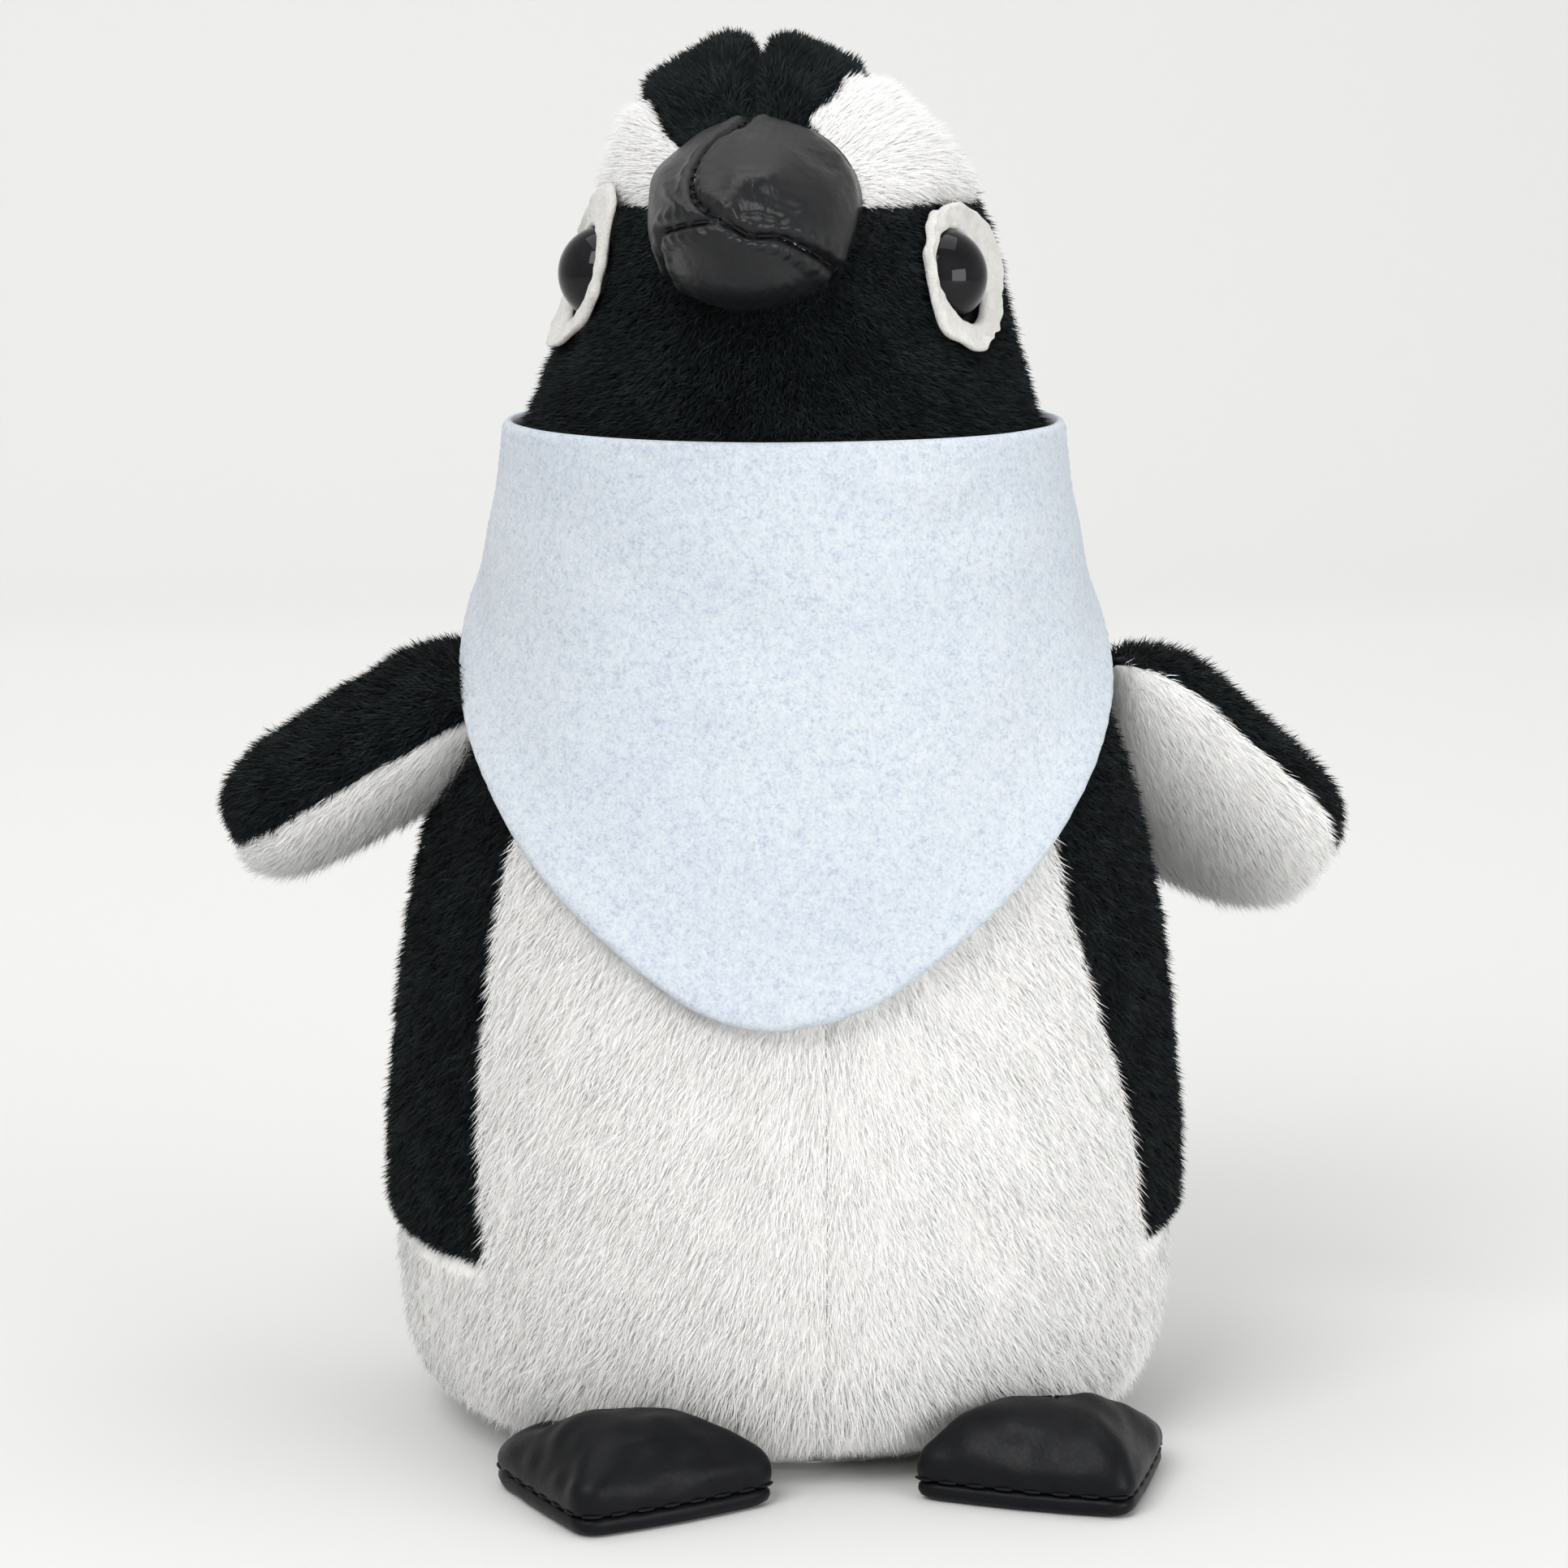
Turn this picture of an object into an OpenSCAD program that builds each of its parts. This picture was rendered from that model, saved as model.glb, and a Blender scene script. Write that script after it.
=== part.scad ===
// Plush penguin, stuffed and sewn from pile fabric, with a leather beak and feet
// and a cloth bib. Millimetres. +Z is up, the face looks along -Y, and the origin
// is the middle of the flat base. Left and right are the toy's own, so left is +X.

/* [Body] */
// Width of the body at its widest, over the fabric
body_w = 82; // [78:1:88]
// Depth of the body at its fullest, over the fabric
body_d = 69.5; // [66:0.5:74]
// Height of the neck, where the head turns on the body
neck_h = 98; // [96:0.5:102]
// Height of the square hem at the bottom of the black back panels
hem_h = 17.7; // [15:0.1:20]
// Thickness of the pile fabric with its backing
fabric = 2; // [1.6:0.1:2.4]
// Gap left between pieces that are sewn edge to edge
seam = 0.15; // [0.1:0.05:0.25]

/* [Head] */
// Height of the head above the neck
head_h = 44; // [42:0.5:46]
// Turn of the head towards the toy's right, in degrees
head_turn = 15; // [0:1:20]
// Gap between the head and the body at the neck
neck_gap = 0.3; // [0.2:0.05:0.5]
// Diameter of the safety eyes
eye_d = 9; // [8:0.5:10]
// Height of the eyes above the neck
eye_h = 20.5; // [19:0.5:22]
// Width of the beak at its base
beak_w = 21.8; // [20:0.2:24]
// Height of the beak at its base
beak_h = 19.4; // [18:0.2:21]
// How far the beak stands out from the face
beak_out = 15.5; // [13:0.5:17]

/* [Flippers] */
// Length of a flipper from its hinge line to its tip
flipper_len = 19.5; // [18:0.5:22]
// Width of a flipper across its broadest part
flipper_w = 24; // [21:0.5:26]
// Thickness of a stuffed flipper
flipper_t = 10.6; // [9:0.2:12]
// Angle of the left flipper below the horizontal
droop_left = 36; // [30:1:45]
// Angle of the right flipper below the horizontal
droop_right = 28; // [22:1:40]

/* [Feet] */
// Height of a foot at its crown
foot_h = 9.8; // [9:0.2:11]
// Thickness of the padded sole below the stitched seam
sole_t = 2.6; // [2:0.1:3]

/* [Bib] */
// Thickness of the bib's brushed cloth
bib_t = 1.2; // [0.8:0.1:1.6]
// Height of the bib's pointed tip above the base
bib_tip_h = 48; // [44:1:52]
// Height of the bib's top edge above the neck
bib_rise = 6; // [5:0.5:8]

/* [Hidden] */

black_pile = "#14191b";
white_pile = "#f3f2ef";
bib_cloth = "#dfe8f5";
black_leather = "#1c1e22";
felt = "#e6e3dc";
stuffing = "#f7f7f2";

// ---- Plain geometry ----------------------------------------------------------

function lerp(p, q, t) = p + (q - p) * t;
function steps(n) = [for (i = [0:n]) i / n];
function signed_pow(v, e) = sign(v) * pow(abs(v), e);

// A point of a rounded oval: turn 0 is its front (-Y), 90 its left side (+X).
function oval(turn, side, front, back, power) = [
    side * signed_pow(sin(turn), 2 / power),
    -(cos(turn) > 0 ? front : back) * signed_pow(cos(turn), 2 / power)
];

// A wall between two grids of points, outer and inner, with the cells that keep(i, j)
// picks. Rows run upwards and columns run round to the left, seen from the front.
// Where cross(i, j) says, a cell is split along its other diagonal.
module wall(
    outer, inner, keep = function(i, j) true, cross = function(i, j) false
) {
    rows = len(outer);
    cols = len(outer[0]);
    in0 = rows * cols;
    has = function(i, j) i >= 0 && j >= 0 && i < rows - 1 && j < cols - 1 && keep(i, j);
    // One edge of the wall, from point p to point q of the outer grid
    edge = function(p, q) [[p, q, q + in0], [p, q + in0, p + in0]];
    cells = [for (i = [0:rows - 2]) for (j = [0:cols - 2]) if (has(i, j)) [i, j]];
    faces = [
        for (c = cells)
            let(
                i = c[0],
                j = c[1],
                a = i * cols + j,
                b = a + 1,
                d = a + cols,
                e = d + 1,
                halves = cross(i, j) ? [[a, d, b], [b, d, e]] : [[a, d, e], [a, e, b]]
            )
            each concat(
                halves,
                [for (h = halves) [h[0] + in0, h[2] + in0, h[1] + in0]],
                has(i - 1, j) ? [] : edge(a, b),
                has(i, j + 1) ? [] : edge(b, e),
                has(i + 1, j) ? [] : edge(e, d),
                has(i, j - 1) ? [] : edge(d, a)
            )
    ];
    polyhedron(concat([for (r = outer) each r], [for (r = inner) each r]), faces);
}

// A wall that goes all the way round: rows are closed rings, from its rim to its crown
module ring_wall(outer, inner) {
    rows = len(outer);
    n = len(outer[0]);
    in0 = rows * n;
    faces = concat(
        [
            for (i = [0:rows - 2]) for (j = [0:n - 1])
                let(a = i * n + j, b = i * n + (j + 1) % n, d = a + n, e = b + n)
                each [
                    [a, d, e], [a, e, b],
                    [a + in0, e + in0, d + in0], [a + in0, b + in0, e + in0]
                ]
        ],
        [
            for (j = [0:n - 1])
                let(a = j, b = (j + 1) % n, d = (rows - 1) * n + j, e = (rows - 1) * n + (j + 1) % n)
                each [
                    [a, b, b + in0], [a, b + in0, a + in0],
                    [e, d, d + in0], [e, d + in0, e + in0]
                ]
        ]
    );
    polyhedron(concat([for (r = outer) each r], [for (r = inner) each r]), faces);
}

// A closed solid through a stack of rings, with flat ends.
module loft(rings) {
    n = len(rings[0]);
    top = len(rings) - 1;
    sides = [
        for (i = [0:top - 1]) for (j = [0:n - 1])
            let(a = i * n + j, b = i * n + (j + 1) % n, d = a + n, e = b + n)
            each [[a, d, e], [a, e, b]]
    ];
    bottom = [for (j = [0:n - 1]) j];
    crown = [for (j = [n - 1:-1:0]) top * n + j];
    polyhedron([for (r = rings) each r], concat(sides, [bottom, crown]));
}

// ---- Body --------------------------------------------------------------------

// Half width, front depth and back depth of the body, at each height, for the
// default sizes. The last row is above the neck, where only the bib reaches.
body_shape = [
    [0, 29, 25, 25.5],
    [2.5, 34.2, 29.2, 29],
    [6, 38.4, 32.5, 31.6],
    [11, 40, 34.6, 33],
    [16, 40.5, 35.4, 33.5],
    [22, 41, 35.8, 33.7],
    [30, 41, 35.9, 33.5],
    [40, 40.2, 35.2, 32.8],
    [50, 39.1, 34, 31.9],
    [60, 37.3, 32.3, 30.9],
    [68, 35.2, 30.9, 30],
    [76, 32.6, 29.5, 29.1],
    [84, 30.2, 28.4, 28.2],
    [92, 28.4, 27.5, 27.5],
    [98, 26.9, 26.9, 26.9],
    [104, 26.2, 26.2, 26.2]
];
body_power = [[0, 2.2], [76, 2.2], [98, 2]];
default_w = 82;
default_d = 69.5;
default_neck = 98;

function body_size(z, column) =
    lookup(z * default_neck / neck_h, [for (r = body_shape) [r[0], r[column]]]);

// A point of the body, grown outwards by out and drawn in by the factor k.
function body_at(turn, z, k = 1, out = 0) =
    let(
        side = body_size(z, 1) * body_w / default_w,
        front = body_size(z, 2) * body_d / default_d,
        back = body_size(z, 3) * body_d / default_d,
        p = lookup(z * default_neck / neck_h, body_power),
        o = oval(turn, side + out, front + out, back + out, p)
    )
    [k * o.x, k * o.y, z];

body_in = 1 - fabric / 37;
body_top = neck_h - neck_gap / 2;
low_rows = [0, 1.2, 2.5, 4.2, 6, 8.5, 11, 14, hem_h];
high_rows = [22, 27, 33, 40, 46, 52, 58, 64, 70, 76, 82, 88, 93, body_top];

// Turn at which the white front meets the black back, at each height
strip_turn = [[18, 59], [40, 57], [60, 54], [75, 51], [98, 48]];

module belly_panel() {
    front_cols = 9;
    back_cols = 13;
    rows = concat(low_rows, high_rows);
    hem_row = len(low_rows) - 1;
    turns = function(z)
        let(split = lookup(z, strip_turn))
        concat(
            [for (s = steps(front_cols)) lerp(seam, split, s)],
            [for (s = steps(back_cols)) if (s > 0) lerp(split, 180 - seam, s)]
        );
    grid = function(k) [for (z = rows) [for (t = turns(z)) body_at(t, z, k)]];
    color(white_pile)
        wall(grid(1), grid(body_in), function(i, j) i < hem_row || j < front_cols);
}

module back_panel() {
    cols = 13;
    rows = concat([hem_h + seam], high_rows);
    first = function(z) lookup(z, strip_turn) + 2 * seam;
    grid = function(k) [
        for (z = rows) [for (s = steps(cols)) body_at(lerp(first(z), 180 - seam, s), z, k)]
    ];
    color(black_pile) wall(grid(1), grid(body_in));
}

module base_panel() {
    ring = [for (a = [0:10:350]) let(p = body_at(a, 0, body_in - 0.005)) [p.x, p.y]];
    color(white_pile) linear_extrude(fabric - 0.4) polygon(ring);
}

bag_r = 23.5;
bag_h = 15;
bag_z = 2;
bag_wall = 0.5;

// Outline of the round pellet bag, drawn in by inset
module bag_outline(inset) {
    round_r = bag_h / 2 - inset;
    flat_w = bag_r - bag_h / 2;
    translate([flat_w, bag_h / 2]) circle(round_r, $fn = 32);
    translate([0, inset]) square([flat_w, 2 * round_r]);
}

module pellet_bag() {
    color("#d9d4c6")
        translate([0, 0, bag_z])
            rotate_extrude($fn = 64)
                difference() {
                    bag_outline(0);
                    bag_outline(bag_wall);
                }
}

module pellets() {
    color("#e9e9e4")
        translate([0, 0, bag_z])
            rotate_extrude($fn = 64)
                bag_outline(bag_wall + 0.05);
}

module body_filling() {
    rows = [fabric, 4, 7, 11, 18, 26, 36, 48, 58, 66, 74, 82, 90, body_top];
    k = body_in - 0.006;
    color(stuffing)
        difference() {
            loft([for (z = rows) [for (a = [0:12:348]) body_at(a, z, k)]]);
            translate([0, 0, bag_z - 1]) cylinder(h = bag_h + 1.2, r = bag_r + 0.2, $fn = 64);
        }
}

// ---- Flippers and tail -------------------------------------------------------

// Half width of a paddle along its length, as shares of its length and half width
paddle_shape = [[-0.2, 0.76], [0, 0.88], [0.3, 1], [0.68, 0.96], [0.88, 0.76], [1, 0.45]];

// Half thickness of a paddle: full at its hinge line, thinner to its tip, with the
// root a half round about the hinge and the edges drawn in to the seam.
function paddle_rise(x, across, length, root_r, half_t) =
    let(
        along = x < 0
            ? root_r * sqrt(max(0, 1 - pow(x / root_r, 2)))
            : lerp(root_r, half_t, min(1, 3 * x / length)) * sqrt(1 - pow(x / length, 6))
    )
    along * sqrt(max(0, 1 - across * across));

module paddle_face(length, half_w, half_t, root_r, k, flip, thickness) {
    xs = concat(
        [for (a = [0, 30, 60]) -root_r * cos(a)],
        [for (s = steps(7)) length * sin(90 * s)]
    );
    gap = flip * seam / 2;
    // Point of the face at x and across, with its plan drawn in by k and its rise by r
    at = function(x, t, plan, r) [
        lerp(length * 0.4, x, plan),
        plan * half_w * lookup(x / length, paddle_shape) * t,
        gap + flip * r * paddle_rise(x, t, length, root_r, half_t)
    ];
    ts = [for (a = [0, 22, 42, 66, 90, 114, 138, 158, 180]) flip * cos(a)];
    outer = [for (x = xs) [for (t = ts) at(x, t, k, k)]];
    inner = [for (x = xs) [for (t = ts) at(x, t, k - thickness / half_w, k - thickness / half_t)]];
    // Each corner cell is split from its corner, or half of it would lie flat in the seam
    wall(
        outer, inner,
        cross = function(i, j) (i < len(xs) / 2) != (j < (len(ts) - 1) / 2)
    );
}

module paddle_filling(length, half_w, half_t, root_r, thickness) {
    xs = concat(
        [for (a = [0, 35, 70]) -root_r * cos(a)],
        [for (s = steps(7)) length * sin(90 * s)]
    );
    plan = 1 - (thickness + 0.2) / half_w;
    rise = 1 - (thickness + 0.2) / half_t;
    at = function(x, t, flip) [
        lerp(length * 0.4, x, plan),
        plan * half_w * lookup(x / length, paddle_shape) * t,
        flip * (seam / 2 + rise * paddle_rise(x, t, length, root_r, half_t))
    ];
    ts = [for (a = [0:20:180]) cos(a)];
    grid = function(flip) [for (x = xs) [for (t = ts) at(x, t, flip)]];
    wall(grid(1), grid(-1));
}

flipper_root_r = 3.2;
flipper_wall = 1.6;
// Hinge, angle below the horizontal and twist of each flipper, both drawn on the left
left_pose = [[41.2, 4, 67], droop_left, 38];
right_pose = [[39.4, 4, 70.5], droop_right, 3];

// Puts a left flipper, drawn along +X with its outer face up, at its hinge
module at_flipper(pose) {
    translate(pose[0]) rotate([0, pose[1], 0]) rotate([-pose[2], 0, 0]) children();
}

module flipper_face(flip) {
    paddle_face(flipper_len, flipper_w / 2, flipper_t / 2, flipper_root_r, 1, flip, flipper_wall);
}

module flipper_fill() {
    paddle_filling(flipper_len, flipper_w / 2, flipper_t / 2, flipper_root_r, flipper_wall);
}

module flipper_left_outer() {
    color(black_pile) at_flipper(left_pose) flipper_face(1);
}

module flipper_left_inner() {
    color(white_pile) at_flipper(left_pose) flipper_face(-1);
}

module flipper_left_filling() {
    color(stuffing) at_flipper(left_pose) flipper_fill();
}

module flipper_right_outer() {
    color(black_pile) mirror([1, 0, 0]) at_flipper(right_pose) flipper_face(1);
}

module flipper_right_inner() {
    color(white_pile) mirror([1, 0, 0]) at_flipper(right_pose) flipper_face(-1);
}

module flipper_right_filling() {
    color(stuffing) mirror([1, 0, 0]) at_flipper(right_pose) flipper_fill();
}

tail_len = 15;
tail_half_w = 8;
tail_half_t = 3.4;
tail_wall = 1.2;
tail_root = [0, 37.2, 21];

module at_tail() {
    translate(tail_root) rotate([0, 0, 90]) rotate([0, 32, 0]) children();
}

module tail_upper() {
    color(black_pile)
        at_tail() paddle_face(tail_len, tail_half_w, tail_half_t, tail_half_t, 1, 1, tail_wall);
}

module tail_under() {
    color(black_pile)
        at_tail() paddle_face(tail_len, tail_half_w, tail_half_t, tail_half_t, 1, -1, tail_wall);
}

module tail_filling() {
    color(stuffing)
        at_tail() paddle_filling(tail_len, tail_half_w, tail_half_t, tail_half_t, tail_wall);
}

// ---- Bib ---------------------------------------------------------------------

bib_off = 0.4;
bib_top = neck_h + bib_rise;
flap_turn = 56;
hinge_z = 86;
// Height of the bib's lower edge round the body, from its tip to the nape
bib_edge = [
    [0, bib_tip_h], [10, bib_tip_h + 0.8], [20, bib_tip_h + 4], [34, 59], [50, 65.5],
    [66, 70], [76, 75], [82, 82], [92, 86], [180, 87]
];

function bib_low(turn) = lookup(abs(turn), bib_edge);

// The flap hangs from a crease that runs down and back from its middle
function crease(turn) =
    hinge_z + body_at(0, hinge_z).y - body_at(turn, lookup(abs(turn), [[0, 86], [56, 70]])).y;

function bib_grid(turns, low, high, rows, out) = [
    for (s = steps(rows)) [for (t = turns) body_at(t, lerp(low(t), high(t), s), 1, out)]
];

module bib_collar() {
    turns = concat(
        [-179, -165, -150, -135, -120, -106, -92, -82, -76, -70, -63, -flap_turn - 1],
        [for (a = [-flap_turn:8:flap_turn]) a],
        [flap_turn + 1, 63, 70, 76, 82, 92, 106, 120, 135, 150, 165, 179]
    );
    low = function(t) abs(t) > flap_turn ? bib_low(t) : max(bib_low(t), crease(t) + 0.4);
    high = function(t) bib_top;
    color(bib_cloth)
        wall(bib_grid(turns, low, high, 7, bib_off + bib_t), bib_grid(turns, low, high, 7, bib_off));
}

module bib_flap() {
    turns = [for (a = [-flap_turn:8:flap_turn]) a];
    low = function(t) bib_low(t);
    high = function(t) crease(t);
    color(bib_cloth)
        wall(bib_grid(turns, low, high, 7, bib_off + bib_t), bib_grid(turns, low, high, 7, bib_off));
}

module nape_strip(out, thickness) {
    turns = [for (a = [164:4:196]) a];
    low = function(t) neck_h - 7;
    high = function(t) neck_h + 2;
    wall(
        bib_grid(turns, low, high, 3, out + thickness),
        bib_grid(turns, low, high, 3, out)
    );
}

strip_t = 0.7;

module bib_loop_strip() {
    color("#e9edf4") nape_strip(bib_off + bib_t + 0.05, strip_t);
}

module bib_hook_strip() {
    color("#f1f3f6") nape_strip(bib_off + bib_t + strip_t + 0.1, strip_t);
}

// ---- Head --------------------------------------------------------------------

// Half width, front depth and back depth of the head, at each height over the neck
head_shape = [
    [0, 26.3, 26.3, 26.3],
    [6, 25.4, 25.2, 25.4],
    [11.4, 24.4, 24.2, 24.6],
    [16, 23.3, 23.2, 23.9],
    [20.5, 22.3, 22.3, 23.1],
    [25, 21, 21.2, 22],
    [28.7, 19.5, 19.6, 20.6],
    [32, 17.8, 17.4, 18.8],
    [35.3, 15.7, 14.8, 16.6],
    [37.7, 13.7, 12.4, 14.4],
    [40.2, 11.4, 9.6, 11.8],
    [42, 8.6, 6.8, 8.8],
    [43.4, 4.8, 3.6, 4.6],
    [44, 0.6, 0.6, 0.6]
];
default_head = 44;
head_power = 2.05;

function head_size(h, column) =
    lookup(h * default_head / head_h, [for (r = head_shape) [r[0], r[column]]]);

// How far the sides of the head are drawn in round the eyes, which a thread holds
eye_y = -6.3;
eye_set = 3;
eye_spread = 6.5;

// It fades to nothing at the middle of the face, where sideways is 0.
function eye_dent(sideways, y, h) =
    let(away = pow(y - eye_y, 2) + pow(h - eye_h, 2))
    eye_set * sideways * sideways * exp(-away / (2 * pow(eye_spread, 2)));

// A point of the head at height h over the neck, drawn in by the factor k
function head_at(turn, h, k = 1) =
    let(
        side = head_size(h, 1),
        o = oval(turn, side, head_size(h, 2), head_size(h, 3), head_power)
    )
    [
        k * (o.x - sign(o.x) * eye_dent(o.x / side, o.y, h)),
        k * o.y,
        neck_h + neck_gap / 2 + k * h
    ];

head_in = 1 - fabric / 24;
brow_low = 28.4;
brow_high = 38.6;
// Turn of the brow patch's front edge, at each height over the neck
brow_front = [[brow_low, 33], [brow_high, 22]];
brow_back = 122;
face_back = 100;

head_rows_low = [0, 3, 6, 10, 14, 18, 21.5, 25, brow_low];
head_rows_brow = [30.8, 33.4, 36, brow_high];
head_rows_top = [40.6, 42.2, 43.4, head_h];

// Places a piece of the head, which is turned a little to the toy's right
module at_head() {
    rotate([0, 0, -head_turn]) children();
}

// One side of the head's fabric, cut where keep(i, j) says, from edge to edge
module head_panel(rows, edges, counts, trim, keep) {
    turns = function(h) [
        for (g = [0:len(counts) - 1])
            for (s = steps(counts[g]))
                if (g == 0 || s > 0) lerp(edges(h)[g], edges(h)[g + 1], s)
    ];
    low = rows[0] + trim;
    high = rows[len(rows) - 1] - trim;
    trimmed = [for (h = rows) max(low, min(high, h))];
    grid = function(k) [for (h = trimmed) [for (t = turns(h)) head_at(t, h, k)]];
    wall(grid(1), grid(head_in), keep);
}

module head_cap() {
    rows = concat(head_rows_low, head_rows_brow, head_rows_top);
    low = len(head_rows_low) - 1;
    high = low + len(head_rows_brow);
    edges = function(h) [
        seam, lookup(h, brow_front) - seam, face_back + seam, brow_back + seam, 180 - seam
    ];
    keep = function(i, j)
        i >= high ? true : i < low ? j >= 7 : j < 2 || j >= 9;
    color(black_pile) at_head() head_panel(rows, edges, [2, 5, 2, 4], 0, keep);
}

module brow_patch() {
    rows = concat([brow_low], head_rows_brow);
    edges = function(h) [lookup(h, brow_front) + seam, brow_back - seam];
    keep = function(i, j) true;
    color(white_pile) at_head() head_panel(rows, edges, [7], seam, keep);
}

module face_panel() {
    rows = head_rows_low;
    edges = function(h) [-face_back + seam, face_back - seam];
    keep = function(i, j) true;
    top = len(rows) - 1;
    trimmed = [for (i = [0:top]) i == top ? rows[i] - 2 * seam : rows[i]];
    color(black_pile) at_head() head_panel(trimmed, edges, [20], 0, keep);
}

module head_filling() {
    rows = [0, 5, 10, 15, 20, 25, 29, 33, 36.5, 39.5, 42];
    k = head_in - 0.008;
    color(stuffing)
        at_head()
            loft([for (h = rows) [for (a = [0:15:345]) head_at(a, h, k)]]);
}

// ---- Beak --------------------------------------------------------------------

beak_z = 27.7;
beak_bend = -1.2;
beak_wall = 1;
beak_r = beak_w / 2;
beak_hr = beak_h / 2;

// How far back the face is at x and height h over the neck
function face_y(x, h) =
    -head_size(h, 2) * pow(max(0, 1 - pow(abs(x) / head_size(h, 1), head_power)), 1 / head_power);

// A point of the beak: a is the angle round its base, r runs from tip 0 to base 1.
// The base lies on the face, and the rest stands out from it in a blunt hook.
function beak_at(a, r, k, out) =
    let(
        x = k * beak_r * r * cos(a),
        h = beak_z + k * beak_hr * r * sin(a),
        stand = out * pow(1 - pow(r, 2.3), 0.58)
    )
    [x + beak_bend * (1 - r * r), face_y(x, h) - 0.2 - stand, neck_h + neck_gap / 2 + h];

beak_tip = 0.04;

module beak_panel(from, to, cols) {
    rs = [beak_tip, 0.22, 0.38, 0.54, 0.7, 0.84, 0.94, 1];
    as = [for (s = steps(cols)) lerp(from + 1, to - 1, s)];
    inner_k = 1 - beak_wall / beak_r;
    grid = function(k, out) [for (a = as) [for (r = rs) beak_at(a, r, k, out)]];
    color(black_leather)
        at_head() wall(grid(1, beak_out), grid(inner_k, beak_out - beak_wall));
}

module beak_filling() {
    rs = [1, 0.92, 0.78, 0.6, 0.4, 0.2, beak_tip];
    k = 1 - (beak_wall + 0.25) / beak_r;
    off_face = 0.5;
    out = beak_out - beak_wall - 0.4 - off_face;
    ring = function(r) [for (a = [0:15:345]) beak_at(a, r, k, out)];
    back = function(r) [for (p = ring(r)) [p.x, p.y + out * pow(1 - pow(r, 2.3), 0.58), p.z]];
    color(stuffing)
        at_head()
            translate([0, -off_face, 0])
                loft(concat([back(0.4)], [for (r = rs) ring(r)]));
}

// ---- Eyes --------------------------------------------------------------------

eye_r = eye_d / 2;
eye_out = 74;
eye_rise = 3.4;
shank_r = 1.5;
shank_len = 9;
washer_t = 1.4;

// Half width of the head at depth y and height h over the neck
function face_x(y, h) =
    let(
        depth = y < 0 ? head_size(h, 2) : head_size(h, 3),
        sideways = pow(max(0, 1 - pow(abs(y) / depth, head_power)), 1 / head_power)
    )
    head_size(h, 1) * sideways - eye_dent(sideways, y, h);

// Puts a left eye, drawn with its dome up, on the side of the head
module at_eye() {
    h = eye_h;
    translate([face_x(eye_y, h) + 0.45, eye_y, neck_h + neck_gap / 2 + h])
        rotate([0, 0, eye_out - 90])
            rotate([0, 90, 0])
                children();
}

module eye() {
    dome_r = (eye_r * eye_r + eye_rise * eye_rise) / (2 * eye_rise);
    color("#101214")
        at_eye()
            rotate_extrude($fn = 48) {
                intersection() {
                    translate([0, eye_rise - dome_r]) circle(dome_r, $fn = 64);
                    square([eye_r + 1, eye_rise + 1]);
                }
                translate([0, -shank_len]) square([shank_r, shank_len + 0.5]);
            }
}

module eye_washer() {
    color("#e8e8e8")
        at_eye()
            translate([0, 0, -shank_len + 2.5])
                difference() {
                    cylinder(h = washer_t, r = 4.2, $fn = 48);
                    translate([0, 0, -1]) cylinder(h = washer_t + 2, r = shank_r + 0.05, $fn = 48);
                }
}

// Reach of the felt patch from the eye's centre, by the angle from its front edge
// (-Y) upwards: narrow in front, a point above and lobes behind.
patch_reach = [
    [0, 5.7], [40, 6], [75, 8.2], [95, 9], [120, 7.6], [160, 8.6], [180, 9],
    [215, 8.2], [250, 8.6], [275, 8.6], [310, 6.4], [360, 5.7]
];

module eye_patch() {
    hole = eye_r + 0.3;
    felt_off = 0.4;
    felt_t = 1.1;
    at = function(a, s, out)
        let(
            r = lerp(hole, lookup(a, patch_reach), s),
            y = eye_y - r * cos(a),
            h = eye_h + r * sin(a)
        )
        [face_x(y, h) + out, y, neck_h + neck_gap / 2 + h];
    // Rings from the patch's edge to its hole, each running backwards from the front
    grid = function(out) [for (s = [1, 0.5, 0]) [for (a = [345:-15:0]) at(a, s, out)]];
    color(felt) at_head() ring_wall(grid(felt_off + felt_t), grid(felt_off));
}

// ---- Feet --------------------------------------------------------------------

// Corners of a left foot's plan: outer toe, middle toe, inner toe and the heel seam,
// each with its rounding, for a foot whose middle line is the body's
foot_corners = [
    [[33.4, -27.2], 2.5], [[30.4, -36.2], 12], [[26.6, -46], 2.5], [[17.2, -42.4], 12],
    [[7.4, -37], 2.5], [[9.2, -34.6], 1.5], [[19.5, -29.8], 6], [[31, -23.2], 2]
];
foot_shift = 1.5;
foot_crown = [21, -36.8];

// A corner rounded by an arc-like curve that starts and ends reach away from it
function rounded(list, i) =
    let(
        n = len(list),
        p = list[i][0],
        before = list[(i + n - 1) % n][0],
        after = list[(i + 1) % n][0],
        reach = list[i][1],
        a = p + (before - p) * min(0.45, reach / norm(before - p)),
        b = p + (after - p) * min(0.45, reach / norm(after - p))
    )
    [for (s = [0, 0.35, 0.65, 1]) lerp(lerp(a, p, s), lerp(p, b, s), s)];

foot_outline = [
    for (i = [len(foot_corners) - 1:-1:0]) each [for (q = [3:-1:0]) rounded(foot_corners, i)[q]]
];

// Plan points of a foot, drawn in towards its crown: r is 1 at the seam
function foot_ring(r, z) = [
    for (p = foot_outline) let(q = lerp(foot_crown, p, r)) [q.x, q.y, z]
];

function foot_rise(r) = pow(1 - pow(r, 2.2), 0.62);

foot_wall = 0.9;
// Least distance from a foot's crown to its edge
foot_reach = 9;
foot_rs = [1, 0.96, 0.88, 0.76, 0.6, 0.42, 0.22, 0.05];

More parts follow.
